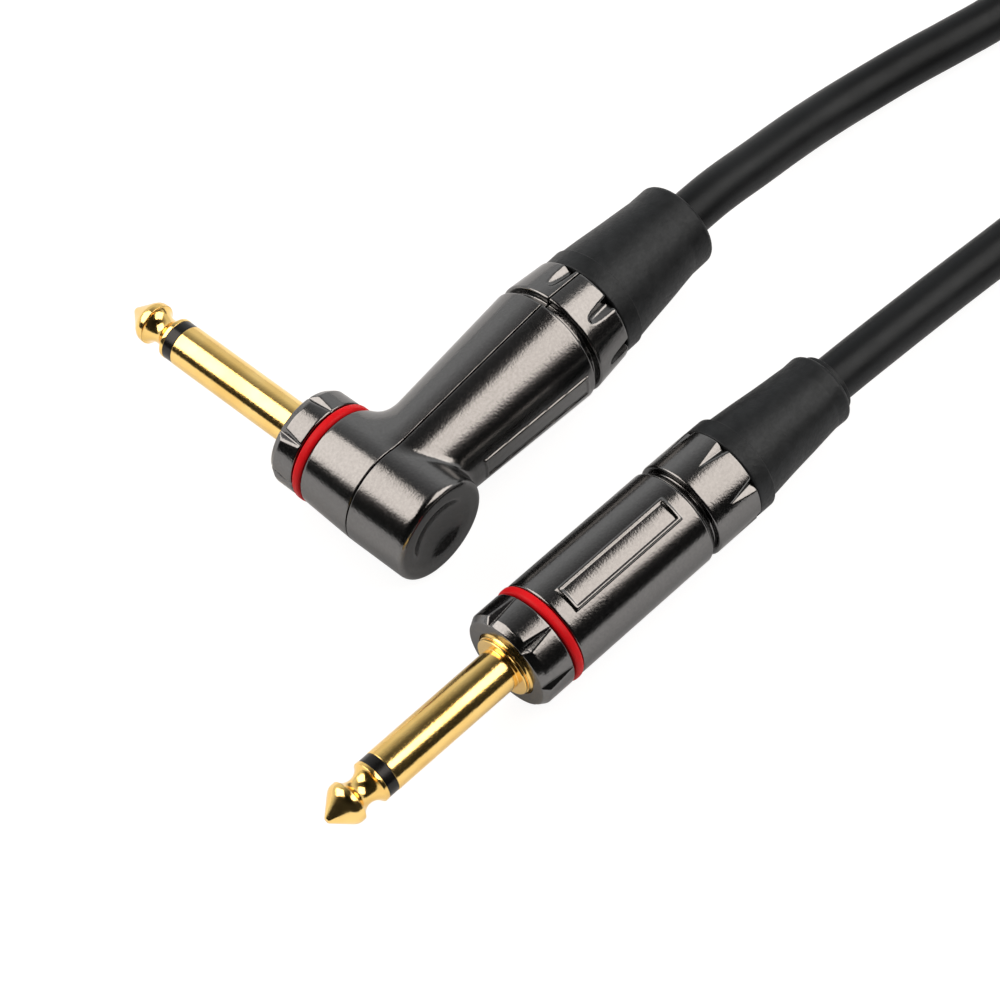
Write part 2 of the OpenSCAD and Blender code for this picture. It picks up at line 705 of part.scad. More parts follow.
module straight_boot() {
    hook_r = hook_d / 2 + run;
    neck_at = straight_wall_back + face_gap;
    hook_room = neck_at + hook_len + face_gap;
    neck_r = thread_r - 2 * fit;
    end_r = boot_end_d / 2;
    color(black) straight_axis() rotate_extrude() polygon(concat(
        [[hook_r, neck_at], [neck_r, neck_at], [neck_r, boot_band_at], [boot_band_d / 2, boot_band_at],
            [boot_band_d / 2, boot_at], [boot_d / 2, boot_at], [end_r, boot_end - boot_end_len]],
        arc(end_r - boot_round, boot_end - boot_round, boot_round, 0, 90),
        [[lip_d / 2, boot_end], [lip_d / 2, straight_len], [mouth_d / 2, straight_len],
            [mouth_d / 2, boot_end - mouth_len], [boot_bore_r, boot_end - mouth_len],
            [boot_bore_r, hook_room], [hook_r, hook_room]]
    ));
}

// The right-angle plug
module angle_tip_contact() {
    angle_jack_axis() tip_contact();
}
module angle_insulator() {
    angle_jack_axis() insulator();
}
module angle_sleeve() {
    angle_jack_axis() sleeve(angle_jack_extra);
}
module angle_rear_insulator() {
    angle_jack_axis() rear_insulator();
}
module angle_ground_lug() {
    angle_jack_axis() ground_lug(angle_side);
}
module angle_tip_lug() {
    angle_jack_axis() tip_lug();
}
module angle_nose_nut() {
    angle_jack_axis() nose_nut(angle_nut_turn, angle_jack_extra);
}
module angle_colour_ring() {
    angle_jack_axis() colour_ring();
}
// The stub along the jack's axis, with a slightly narrower front
module stub_solid() {
    angle_jack_axis() translate([0, 0, body_front]) rotate_extrude() polygon(concat(
        arc(stub_front_d / 2 - barrel_round, barrel_round, barrel_round, -90, 0),
        [[stub_d / 2, stub_front]],
        arc(stub_d / 2 - stub_round, stub_front + stub_back - stub_round, stub_round, 0, 90),
        [[0, stub_front + stub_back], [0, 0]]
    ));
}
// The barrel that widens to the rear, its groove, its collar and the threaded neck
module elbow_barrel_solid() {
    groove_r = elbow_back_d / 2 - elbow_groove_depth;
    front_r = collar_front_d / 2;
    back_r = collar_back_d / 2;
    apex_r = back_r + (front_r - back_r) * collar_notch_len / collar_len;
    angle_axis() difference() {
        union() {
            rotate_extrude() polygon(concat(
                [[0, 0], [elbow_d / 2, 0]],
                arc(elbow_back_d / 2 - barrel_round, elbow_len - barrel_round, barrel_round, 0, 90),
                [[groove_r, elbow_len], [groove_r, collar2_at]],
                arc(front_r - barrel_round, collar2_at + barrel_round, barrel_round, -90, 0),
                arc(back_r - barrel_round, collar2_back - barrel_round, barrel_round, 0, 90),
                [[neck_thread_d / 2, collar2_back], [neck_thread_d / 2, neck_end], [0, neck_end]]
            ));
            panel_frame(angle_panel_at, -90, elbow_back_d) cylinder(h = elbow_len,
                r1 = elbow_d / 2 + panel_height, r2 = elbow_back_d / 2 + panel_height);
        }
        notches(apex_r, collar2_back - collar_notch_len, collar2_back,
            notch_depth + apex_r - back_r, collar_turn);
    }
}
module elbow_hollow() {
    dish_r = (pow(dish_d / 2, 2) + pow(dish_depth, 2)) / (2 * dish_depth);
    hollow_back = jack_reach + stub_back - dish_depth - end_wall;
    angle_jack_axis() {
        translate([0, 0, body_front - past])
            cylinder(r = thread_r + run, h = flange_back - body_front + past);
        translate([0, 0, flange_back - past]) cylinder(r = chamber_r, h = hollow_back - flange_back + past);
        translate([0, 0, jack_reach + stub_back - dish_depth + dish_r]) sphere(r = dish_r);
    }
    angle_axis() {
        cylinder(r = chamber_r, h = angle_jacket_end - chuck_room);
        cylinder(r = angle_chuck_d / 2 + run, h = neck_end + past);
    }
}
// Everything on the jack's side of the seam, which holds the barrel's axis
module front_side() {
    span = 2 * (jack_reach + angle_len);
    elbow_frame() translate([-span / 2, 0, -span / 2]) cube(span);
}
module pegs(r, long) {
    for (v = [elbow_len / 3, elbow_len * 5 / 6]) for (side = [-1, 1]) {
        wall_mid = (chamber_r + elbow_d / 2 + elbow_slope * v) / 2;
        elbow_frame() translate([v, -past, side * wall_mid]) rotate([-90, 0, 0])
            cylinder(r = r, h = long + past);
    }
}
module angle_front_shell() {
    color(gunmetal) difference() {
        intersection() {
            union() {
                stub_solid();
                elbow_barrel_solid();
            }
            front_side();
        }
        elbow_hollow();
        pegs(peg_d / 2 + fit, peg_len + face_gap);
    }
}
module angle_back_shell() {
    color(gunmetal) {
        difference() {
            union() {
                stub_solid();
                elbow_barrel_solid();
            }
            front_side();
            elbow_hollow();
        }
        pegs(peg_d / 2, peg_len);
    }
}
module angle_chuck() {
    angle_axis() chuck(angle_chuck_d / 2, angle_chuck_front, angle_cone_at);
}
module angle_gland_nut() {
    bore_r = neck_thread_d / 2 + run;
    wall_r = tail_d / 2 + run;
    color(tin) angle_axis() rotate_extrude() polygon([
        [bore_r, collar2_back + face_gap], [angle_nut_r, collar2_back + face_gap],
        [angle_nut_r, angle_nut_back], [wall_r, angle_nut_back], [wall_r, angle_wall_at],
        [angle_chuck_d / 2 + run, angle_cone_at], [bore_r, angle_cone_at]
    ]);
}
module angle_boot() {
    hook_r = hook_d / 2 + run;
    hook_room = angle_nut_back + hook_len + 2 * face_gap;
    nut_room = angle_nut_r + fit;
    end_r = angle_boot_end_d / 2;
    color(black) angle_axis() rotate_extrude() polygon(concat(
        [[nut_room, angle_band_at], [angle_band_d / 2, angle_band_at], [angle_band_d / 2, angle_boot_at],
            [angle_boot_d / 2, angle_boot_at], [end_r, angle_len - angle_boot_end_len]],
        arc(end_r - boot_round, angle_len - boot_round, boot_round, 0, 90),
        [[mouth_d / 2, angle_len], [mouth_d / 2, angle_len - mouth_len], [boot_bore_r, angle_len - mouth_len],
            [boot_bore_r, hook_room], [hook_r, hook_room], [hook_r, angle_nut_back + face_gap],
            [nut_room, angle_nut_back + face_gap]]
    ));
}

// The cable's ends in the plugs
module straight_conductor() {
    color(copper) straight_axis() translate([0, 0, rod_end + face_gap])
        cylinder(r = conductor_d / 2, h = straight_jacket_end - rod_end - face_gap);
}
module straight_dielectric() {
    color(white) straight_axis() pipe(dielectric_d / 2, conductor_d / 2 + fit,
        straight_jacket_end - straight_bared, straight_jacket_end);
}
module straight_shield() {
    color(copper) straight_frame() tube([
        [solder_mid - solder_len / 2, -shield_at, 0], [solder_mid + solder_len / 2, -shield_at, 0],
        [straight_jacket_end - shield_d, -shield_out, 0], [straight_jacket_end - fit, -shield_out, 0]
    ], shield_d / 2, wire_sides);
}
module straight_tip_solder() {
    straight_axis() tip_solder();
}
module straight_ground_solder() {
    straight_axis() ground_solder(straight_side, 0);
}
module angle_conductor() {
    cup_back = jack_reach - cup_end + conductor_d / 2;
    bend = arc(conductor_d, cup_back + conductor_d, conductor_d, 180, 270);
    color(copper) elbow_frame() tube(concat(
        [[0, jack_reach - rod_end - face_gap, 0]],
        [for (p = bend) [p.x, p.y, 0]],
        [[angle_jacket_end - angle_bared, 0, 0], [angle_jacket_end, 0, 0]]
    ), conductor_d / 2, wire_sides);
}
module angle_dielectric() {
    color(white) angle_axis() pipe(dielectric_d / 2, conductor_d / 2 + fit,
        angle_jacket_end - angle_bared + dielectric_d, angle_jacket_end);
}
module angle_shield() {
    solder_y = jack_reach - solder_mid;
    color(copper) elbow_frame() tube([
        [-solder_len / 2, solder_y, shield_at], [solder_len, solder_y, shield_at],
        [3 * solder_len, solder_y / 2, shield_out], [angle_jacket_end - angle_bared, 0, shield_out],
        [angle_jacket_end - fit, 0, shield_out]
    ], shield_d / 2, wire_sides);
}
module angle_tip_solder() {
    angle_jack_axis() tip_solder();
}
module angle_ground_solder() {
    angle_jack_axis() ground_solder(angle_side, 90);
}

// The free cable
module cable_lead_straight() {
    color(black) on_table() tube(straight_path, cable_r, lead_sides);
}
module cable_lead_angle() {
    color(black) on_table() tube(angle_path, cable_r, lead_sides);
}
module cable_coil() {
    color(black) on_table() tube(coil_points, cable_r, coil_sides);
}
module tie_outline(low, high, grow) {
    for (inset = [0, 1])
        translate(low - [1, 1] * grow + [inset, 1 - inset] * tie_round)
            square(high - low + [2, 2] * grow - 2 * [inset, 1 - inset] * tie_round);
    for (x = [low.x - grow + tie_round, high.x + grow - tie_round])
        for (y = [low.y - grow + tie_round, high.y + grow - tie_round])
            translate([x, y]) circle(r = tie_round);
}
// Two straps round the coil, on opposite sides of it
module coil_ties() {
    inner_r = coil_r - coil_pitch * layer_turns - cable_r;
    low = [sqrt(pow(inner_r, 2) - pow(tie_w / 2, 2)) - face_gap, tie_t];
    high = [coil_r + cable_r + face_gap, coil_height(coil_turns) + cable_r + face_gap];
    color(black) on_table() for (turn = [0, 180])
        translate([coil_middle.x, coil_middle.y, 0]) rotate([90, 0, turn])
            linear_extrude(height = tie_w, center = true) difference() {
                tie_outline(low, high, tie_t);
                tie_outline(low, high, 0);
            }
}

straight_tip_contact();
straight_insulator();
straight_sleeve();
straight_rear_insulator();
straight_ground_lug();
straight_tip_lug();
straight_nose_nut();
straight_colour_ring();
straight_barrel();
straight_liner();
straight_chuck();
straight_gland_nut();
straight_boot();
straight_conductor();
straight_dielectric();
straight_shield();
straight_tip_solder();
straight_ground_solder();
angle_tip_contact();
angle_insulator();
angle_sleeve();
angle_rear_insulator();
angle_ground_lug();
angle_tip_lug();
angle_nose_nut();
angle_colour_ring();
angle_front_shell();
angle_back_shell();
angle_chuck();
angle_gland_nut();
angle_boot();
angle_conductor();
angle_dielectric();
angle_shield();
angle_tip_solder();
angle_ground_solder();
cable_lead_straight();
cable_lead_angle();
cable_coil();
coil_ties();
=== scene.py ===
import math
from collections import namedtuple
from itertools import product

import bmesh
import bpy
import numpy as np
from mathutils import Matrix, Vector


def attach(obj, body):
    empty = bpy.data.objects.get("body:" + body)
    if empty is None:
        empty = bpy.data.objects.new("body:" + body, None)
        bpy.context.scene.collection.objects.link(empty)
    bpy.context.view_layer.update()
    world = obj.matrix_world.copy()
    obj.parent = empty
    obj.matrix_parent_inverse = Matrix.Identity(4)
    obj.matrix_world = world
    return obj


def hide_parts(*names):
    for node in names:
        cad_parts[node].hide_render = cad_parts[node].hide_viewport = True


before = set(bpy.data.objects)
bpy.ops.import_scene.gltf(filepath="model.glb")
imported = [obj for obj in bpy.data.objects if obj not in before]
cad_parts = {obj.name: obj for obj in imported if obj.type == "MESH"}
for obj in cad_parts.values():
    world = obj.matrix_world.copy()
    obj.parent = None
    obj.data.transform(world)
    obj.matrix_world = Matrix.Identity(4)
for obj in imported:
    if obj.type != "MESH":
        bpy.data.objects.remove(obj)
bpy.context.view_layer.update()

MM = 0.001
scene = bpy.context.scene
scene.view_settings.view_transform = "Standard"

# Places in the row frame, in mm, as the part's source has them: the straight plug's point, and where the axes
# of the right-angle plug's jack and barrel cross
STRAIGHT_TIP = np.array((-51.1543, -36.3106, 7.75))
ELBOW = np.array((-10.4702, -5.4215, 9.45))
JACK_REACH = 49.55
YAW = math.radians(3)
UP = np.array((0, 0, 1.0))
ALONG_BARREL = np.array((math.cos(YAW), math.sin(YAW), 0))
ALONG_JACK = np.array((-math.sin(YAW), math.cos(YAW), 0))

# A lathe's axis: its start, the directions at angles 0 and 90, and the direction along it
Axis = namedtuple("Axis", "start zero quarter along")
STRAIGHT = Axis(STRAIGHT_TIP, -UP, np.array((0, 1.0, 0)), np.array((1.0, 0, 0)))
BARREL = Axis(ELBOW, -UP, ALONG_JACK, ALONG_BARREL)
ANGLE_JACK = Axis(ELBOW + JACK_REACH * ALONG_JACK, ALONG_BARREL, UP, -ALONG_JACK)

# Camera, as fitted to the two plugs in the photo
CAMERA_AIM = Vector((3.5525, -12.6125, -0.32)) * MM
CAMERA_DISTANCE = 496.19 * MM
CAMERA_TILT = math.radians(55.287)
CAMERA_ROLL = math.radians(6.04)
CAMERA_TURN = math.radians(-39.74)
CAMERA_LENS = 127.52
CAMERA_SENSOR = 36


def add_camera():
    right = Vector((1, 0, 0))
    ahead = Vector((0, math.cos(CAMERA_TILT), -math.sin(CAMERA_TILT)))
    down = Vector((0, -math.sin(CAMERA_TILT), -math.cos(CAMERA_TILT)))
    across = math.cos(CAMERA_ROLL) * right + math.sin(CAMERA_ROLL) * down
    below = math.cos(CAMERA_ROLL) * down - math.sin(CAMERA_ROLL) * right
    turn = Matrix.Rotation(CAMERA_TURN, 3, "Z")
    across, below, ahead = turn @ across, turn @ below, turn @ ahead
    data = bpy.data.cameras.new("camera")
    data.lens = CAMERA_LENS
    data.sensor_width = CAMERA_SENSOR
    camera = bpy.data.objects.new("camera", data)
    facing = Matrix((across, -below, -ahead)).transposed().to_4x4()
    camera.matrix_world = Matrix.Translation(CAMERA_AIM - CAMERA_DISTANCE * ahead) @ facing
    scene.collection.objects.link(camera)
    scene.camera = camera


add_camera()


# Shader nodes
def set_sockets(node, values):
    """Values by socket name, with _ for each space in it."""
    for name, value in values.items():
        node.inputs[name.replace("_", " ")].default_value = value


def add_node(tree, kind, operation=None, **values):
    node = tree.nodes.new("ShaderNode" + kind)
    if operation:
        node.operation = operation
    set_sockets(node, values)
    return node


def set_ramp(node, *stops):
    """Sets a colour ramp's two stops, each (place, colour)."""
    for element, (place, colour) in zip(node.color_ramp.elements, stops):
        element.position = place
        element.color = colour


def add_links(tree, *pairs):
    for source, target in pairs:
        tree.links.new(source, target)


# Blender's wave texture at scale 1 repeats after about this many metres
WAVE_PERIOD = math.pi / 10
# Most values of a noise texture lie between these
NOISE_LOW, NOISE_HIGH = 0.3, 0.7


class Nodes:
    """A material's node tree, with short ways to add what these surfaces need. Lengths are in mm."""

    def __init__(self, name):
        self.material = bpy.data.materials.new(name)
        self.material.use_nodes = True
        self.tree = self.material.node_tree
        self.shader = self.tree.nodes["Principled BSDF"]
        self.place = add_node(self.tree, "TexCoord").outputs["Object"]

    def link(self, source, target):
        self.tree.links.new(source, target)

    def noise(self, grain, detail=3.0):
        """Noise whose patches are about grain across."""
        node = add_node(self.tree, "TexNoise", Scale=1 / (grain * MM), Detail=detail)
        self.link(self.place, node.inputs["Vector"])
        return node.outputs["Fac"]

    def wave(self, period, direction):
        node = add_node(self.tree, "TexWave", Scale=WAVE_PERIOD / (period * MM))
        node.bands_direction = direction
        self.link(self.place, node.inputs["Vector"])
        return node.outputs["Fac"]

    def ramp(self, source, low, high, start=0.35, end=0.65):
        node = add_node(self.tree, "ValToRGB")
        set_ramp(node, (start, (*low, 1)), (end, (*high, 1)))
        self.link(source, node.inputs["Fac"])
        return node.outputs["Color"]

    def spread(self, source, low, high):
        """Numbers from low to high over a noise's usual values."""
        node = add_node(
            self.tree, "MapRange", From_Min=NOISE_LOW, From_Max=NOISE_HIGH, To_Min=low, To_Max=high
        )
        self.link(source, node.inputs["Value"])
        return node.outputs["Result"]

    def bump(self, *layers):
        """Layers are (height, depth), from the coarsest to the finest."""
        normal = None
        for height, depth in layers:
            node = add_node(self.tree, "Bump", Distance=depth * MM)
            self.link(height, node.inputs["Height"])
            if normal:
                self.link(normal, node.inputs["Normal"])
            normal = node.outputs["Normal"]
        self.link(normal, self.shader.inputs["Normal"])

    def colour(self, source):
        self.link(source, self.shader.inputs["Base Color"])

    def roughness(self, source):
        self.link(source, self.shader.inputs["Roughness"])

    def fixed(self, **values):
        set_sockets(self.shader, values)


# Materials
def gunmetal():
    """Dark plated zinc with a fine orange peel."""
    n = Nodes("gunmetal")
    n.fixed(Metallic=1.0, Specular_Tint=(0.8, 0.8, 0.8, 1))
    n.colour(n.ramp(n.noise(0.4), (0.153, 0.152, 0.151), (0.177, 0.176, 0.175), NOISE_LOW, NOISE_HIGH))
    n.roughness(n.spread(n.noise(0.45), 0.13, 0.19))
    n.bump((n.noise(3, detail=1), 0.003), (n.noise(0.32), 0.015))
    return n.material


def gold():
    """Polished gold plate with faint marks of use."""
    n = Nodes("gold")
    n.fixed(Metallic=1.0)
    n.colour(n.ramp(n.noise(5), (0.92, 0.61, 0.19), (1.0, 0.70, 0.25)))
    n.roughness(n.spread(n.noise(0.6), 0.11, 0.18))
    n.bump((n.noise(1.6, detail=2), 0.003), (n.noise(0.32), 0.011))
    return n.material


def moulded(name, low, high, smooth, rough, patch, grain, depth, **fixed):
    """Moulded plastic or rubber: cloudy colour in patches, from low to high, and a fine grain."""
    n = Nodes(name)
    n.colour(n.ramp(n.noise(patch, detail=5), low, high))
    n.roughness(n.spread(n.noise(patch / 3, detail=4), smooth, rough))
    n.bump((n.noise(patch / 2, detail=2), depth * 2), (n.noise(grain), depth))
    n.fixed(**fixed)
    return n.material


def sheet_metal(name, low, high, smooth, rough, grain):
    """Bare metal, with its shine and a shallow bump in patches of the grain's size."""
    n = Nodes(name)
    n.fixed(Metallic=1.0)
    n.colour(n.ramp(n.noise(grain * 6), low, high))
    n.roughness(n.spread(n.noise(grain), smooth, rough))
    n.bump((n.noise(grain, detail=2), 0.02))
    return n.material


def stranded(name, low, high, lay):
    """Bare strands, as fine slanted ridges."""
    n = Nodes(name)
    n.fixed(Metallic=1.0)
    strands = n.wave(lay, "DIAGONAL")
    n.colour(n.ramp(strands, low, high))
    n.roughness(n.spread(n.noise(0.5), 0.25, 0.45))
    n.bump((strands, 0.06))
    return n.material


def webbing():
    """Black woven strap: ribs across and along it, and fuzz."""
    n = Nodes("tie_fabric")
    across, along = n.wave(0.9, "Y"), n.wave(0.7, "Z")
    n.colour(n.ramp(n.noise(1.2, detail=6), (0.012, 0.012, 0.013), (0.034, 0.034, 0.036)))
    n.roughness(n.spread(n.noise(0.4), 0.75, 0.95))
    n.bump((across, 0.10), (along, 0.07), (n.noise(0.2, detail=4), 0.05))
    n.fixed(Sheen_Weight=0.35, Sheen_Roughness=0.4)
    return n.material


# Keeps the sheen of black rubber neutral under the warm lamps
COOL_TINT = (0.86, 0.94, 1, 1)
MATERIALS = {
    "gunmetal": gunmetal(),
    "gold": gold(),
    "black_plastic": moulded(
        "black_plastic", low=(0.003, 0.003, 0.003), high=(0.006, 0.006, 0.006), smooth=0.18, rough=0.28,
        patch=4, grain=0.3, depth=0.004, Specular_IOR_Level=0.3,
    ),
    "white_plastic": moulded(
        "white_plastic", low=(0.62, 0.60, 0.55), high=(0.72, 0.70, 0.65), smooth=0.35, rough=0.5,
        patch=5, grain=0.3, depth=0.008,
    ),
    "tinned_metal": sheet_metal(
        "tinned_metal", low=(0.5, 0.5, 0.49), high=(0.62, 0.62, 0.61), smooth=0.25, rough=0.42, grain=0.8,
    ),
    "solder": sheet_metal(
        "solder", low=(0.52, 0.53, 0.54), high=(0.66, 0.66, 0.66), smooth=0.12, rough=0.34, grain=1.1,
    ),
    "copper": stranded("copper", low=(0.38, 0.17, 0.07), high=(0.62, 0.30, 0.14), lay=0.35),
    "red_ring": moulded(
        "red_ring", low=(0.60, 0.005, 0.009), high=(0.68, 0.008, 0.013), smooth=0.4, rough=0.5,
        patch=5, grain=0.35, depth=0.006, Specular_IOR_Level=0.12,
    ),
    "boot_rubber": moulded(
        "boot_rubber", low=(0.005, 0.0055, 0.006), high=(0.011, 0.0121, 0.0131), smooth=0.42, rough=0.52,
        patch=1.6, grain=0.3, depth=0.02, Specular_IOR_Level=0.27, Specular_Tint=COOL_TINT,
    ),
    "cable_jacket": moulded(
        "cable_jacket", low=(0.004, 0.0044, 0.0048), high=(0.007, 0.0077, 0.0084), smooth=0.37, rough=0.45,
        patch=10, grain=0.35, depth=0.012, Specular_IOR_Level=0.19, Specular_Tint=COOL_TINT,
    ),
    "tie_fabric": webbing(),
}


def dress(obj, body, slot, *nodes):
    """Gives a new piece its finish, its body and the CAD nodes that it stands for."""
    obj.data.materials.append(MATERIALS[slot])
    scene.collection.objects.link(obj)
    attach(obj, body)
    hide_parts(*nodes)
    return obj


# Blending
def soft_max(a, b, k):
    """The larger of two numbers, blended where they differ by less than k."""
    h = np.clip(0.5 + 0.5 * (a - b) / k, 0, 1)
    return b + (a - b) * h + k * h * (1 - h)


def soft_min(a, b, k):
    return -soft_max(-a, -b, k)


def smooth_step(low, high, x):
    f = np.clip((x - low) / (high - low), 0, 1)
    return f * f * (3 - 2 * f)


# The cable: out of the straight boot, along the table, up to the top of the coil, down through it and on to
# the other boot. Its route is in the layout of the part's source, and SHIFT takes it to the row frame
SHIFT = np.array((0.1457, 0.0894, 0))
CABLE_D = 7.0
STRAIGHT_ROUTE = [
    (18.7, -36.4, 7.75), (26.6, -36.4, 7.75), (36.9, -36.4, 7.75),
    (48, -36.4, 7.2), (56, -36.3, 6.3), (64, -36.2, 5.3), (72, -36.2, 4.4), (82, -36.5, 3.7),
    (94, -37, 3.5), (104, -37, 3.5), (112, -37.1, 3.9), (119.5, -37.8, 5.7), (126, -39.2, 8.8),
    (132.5, -41.2, 13.4), (139, -43.3, 19.2), (146, -45.5, 23.5), (153.5, -47.8, 26),
    (161.4, -50.2, 26.8), (171, -53.1, 26.9),
]
ANGLE_ROUTE = [
    (54.8, -2.1, 9.1), (59.8, -1.8, 8.5), (67.8, -1.5, 7), (75.8, -1.1, 5.4), (83.8, -1.1, 4),
    (91.8, -2, 3.5), (99.8, -3.4, 3.5), (107.8, -5.1, 3.5), (115.8, -6.6, 3.5), (126.5, -7.2, 3.5),
    (137, -4.9, 3.6), (146.3, 0.3, 3.9), (152, 5.7, 4.2),
]
# In the right-angle boot, from the elbow along its barrel: where the close bore starts, and the jacket's end
ANGLE_THROAT, ANGLE_JACKET_END = 54.35, 51
COIL_MIDDLE = np.array((203, -10, 0))
COIL_R = 50.6
COIL_PITCH = 7.5
COIL_LOW = 4.35
COIL_TURNS = 10.7
COIL_LAYERS = 4
COIL_START_ANGLE = 145
LAYER_TURNS = COIL_TURNS / COIL_LAYERS
CLIMB_TURNS = 0.5
TURN_POINTS = 24
# The leads run square into the coil's ends over this length
SQUARE_END = 2


def coil_angle(t):
    return math.radians(COIL_START_ANGLE - 360 * t)


def coil_heading(t):
    a = coil_angle(t)
    return np.array((math.sin(a), -math.cos(a), 0))


def coil_point(t):
    """The cable's middle after t turns, inwards on one layer and outwards on the next."""
    a = coil_angle(t)
    layer = math.floor(t / LAYER_TURNS)
    part = t - layer * LAYER_TURNS
    r = COIL_R - COIL_PITCH * (part if layer % 2 == 0 else LAYER_TURNS - part)
    height = COIL_LOW
    for k in range(1, COIL_LAYERS):
        climb = k * LAYER_TURNS
        height += COIL_PITCH * smooth_step(climb - CLIMB_TURNS / 2, climb + CLIMB_TURNS / 2, t)
    return COIL_MIDDLE + np.array((r * math.cos(a), r * math.sin(a), height))


def cable_route():
    steps = math.ceil(COIL_TURNS * TURN_POINTS)
    coil = [coil_point(COIL_TURNS * i / steps) for i in range(steps + 1)]
    first, last = coil_heading(0), coil_heading(COIL_TURNS)
    coil_start, coil_end = coil[0] - CABLE_D * first, coil[-1] + CABLE_D * last
    route = [np.array(p) for p in STRAIGHT_ROUTE]
    route += [coil_end + SQUARE_END * last, coil_end]
    route += coil[::-1]
    route += [coil_start, coil_start - SQUARE_END * first]
    route += [np.array(p) for p in ANGLE_ROUTE[::-1]]
    route = [p + SHIFT for p in route]
    return route + [ELBOW + v * ALONG_BARREL for v in (ANGLE_THROAT, ANGLE_JACKET_END)]


def add_cable():
    route = cable_route()
    data = bpy.data.curves.new("cable", "CURVE")
    data.dimensions = "3D"
    data.bevel_depth = CABLE_D / 2 * MM
    data.bevel_resolution = 10
    data.resolution_u = 4
    data.use_fill_caps = True
    spline = data.splines.new("BEZIER")
    spline.bezier_points.add(len(route) - 1)
    for point, place in zip(spline.bezier_points, route):
        point.co = place * MM
        point.handle_left_type = point.handle_right_type = "AUTO"
    return dress(
        bpy.data.objects.new("cable", data),
        "cable",
        "cable_jacket",
        "cable_lead_straight",
        "cable_lead_angle",
        "cable_coil",
    )


# Mesh building
SAME_POINT = 1e-7


def mesh_object(name, points, faces):
    """A smooth mesh from points in mm, with faces turned outwards."""
    mesh = bpy.data.meshes.new(name)
    mesh.from_pydata((points * MM).tolist(), [], faces)
    build = bmesh.new()
    build.from_mesh(mesh)
    bmesh.ops.remove_doubles(build, verts=build.verts, dist=SAME_POINT)
    bmesh.ops.recalc_face_normals(build, faces=build.faces)
    build.to_mesh(mesh)
    build.free()
    mesh.shade_smooth()
    return bpy.data.objects.new(name, mesh)


ARC_STEPS = 5
# A point this far from each end of a side keeps smooth shading to the rounding. A short side has none, and a
# side's other points stay clear of them
SIDE_MARGIN = 0.12
SHORT_SIDE = 4 * SIDE_MARGIN
CLEAR_OF_MARGIN = 1.5


def rounded(before, corner, after, rounding):
    """Points of the arc that rounds a corner between two others."""
    back, ahead = before - corner, after - corner
    back, ahead = back / np.linalg.norm(back), ahead / np.linalg.norm(ahead)
    half = math.acos(back @ ahead) / 2
    centre = corner + (back + ahead) / np.linalg.norm(back + ahead) * rounding / math.sin(half)
    first = corner + back * rounding / math.tan(half) - centre
    last = corner + ahead * rounding / math.tan(half) - centre
    sweep = math.pi - 2 * half
    points = []
    for k in range(ARC_STEPS + 1):
        t = k / ARC_STEPS
        mixed = first * math.sin((1 - t) * sweep) + last * math.sin(t * sweep)
        points.append(centre + mixed / math.sin(sweep))
    return points


def section(corners, closed=True):
    """The points of a lathe's section. A corner is (along, radius), and may add its rounding and the
    spacing of points on the side that follows."""
    corners = [(*c, 0, 0)[:4] for c in corners]
    places = [np.array(c[:2], float) for c in corners]
    points, spacing = [], []
    for i, (_, _, rounding, step) in enumerate(corners):
        here = [places[i]]
        if rounding:
            here = rounded(places[i - 1], places[i], places[(i + 1) % len(places)], rounding)
        points += here
        spacing += [0] * (len(here) - 1) + [step]
    full = []
    for i, (here, step) in enumerate(zip(points, spacing)):
        full.append(here)
        if i + 1 == len(points) and not closed:
            break
        side = points[(i + 1) % len(points)] - here
        length = np.linalg.norm(side)
        if length < SHORT_SIDE:
            continue
        margin = SIDE_MARGIN / length
        clear = CLEAR_OF_MARGIN * margin
        cuts = max(1, round(length / step)) if step else 1
        inner = [k / cuts for k in range(1, cuts) if clear < k / cuts < 1 - clear]
        full += [here + f * side for f in (margin, *inner, 1 - margin)]
    return np.array(full)


def lathe(name, axis, outline, sides, shape=None, closed=True):
    """An outline turned round an axis. shape(along, radius, angle) gives the radius where it isn't round."""
    angle = np.arange(sides) * 2 * math.pi / sides
    u = np.repeat(outline[:, :1], sides, 1)
    r = np.repeat(outline[:, 1:], sides, 1)
    a = np.repeat(angle[None], len(outline), 0)
    if shape:
        r = shape(u, r, a)
    points = (
        axis.start
        + u[..., None] * axis.along
        + (r * np.cos(a))[..., None] * axis.zero
        + (r * np.sin(a))[..., None] * axis.quarter
    )
    rows = len(outline) if closed else len(outline) - 1
    i, j = np.meshgrid(np.arange(rows), np.arange(sides), indexing="ij")
    i2, j2 = (i + 1) % len(outline), (j + 1) % sides
    faces = np.stack((i * sides + j, i * sides + j2, i2 * sides + j2, i2 * sides + j), -1)
    return mesh_object(name, points.reshape(-1, 3), faces.reshape(-1, 4).tolist())


# Notches and threads
NOTCHES = 7
NOTCH_SLOPE = math.tan(math.radians(54))
NOTCH_DEPTH = 0.8
NOTCH_EDGE = 0.15
PITCH = 1.0
THREAD_DEPTH = 0.32
THREAD_FADE = 0.4
THREAD_R = 6.25
# Spacing of a section's points along a thread, and how near its crest a surface is cut
THREAD_STEP = 0.14
ON_CREST = 0.02


def from_notch(angle, turn):
    """Angle from the nearest notch's middle."""
    share = 2 * math.pi / NOTCHES
    return (angle - math.radians(turn) + share / 2) % share - share / 2


def notched(r, angle, turn, floor, outer, inner):
    """Radius of a surface with V notches whose floor is given, scaled between inner and outer so that
    end faces follow."""
    off = from_notch(angle, turn)
    cut = floor + np.abs(np.sin(off)) * outer / NOTCH_SLOPE
    share = (soft_min(cut, outer, NOTCH_EDGE) - inner) / (outer - inner)
    return np.where(r > inner, inner + (r - inner) * np.minimum(share, 1), r)


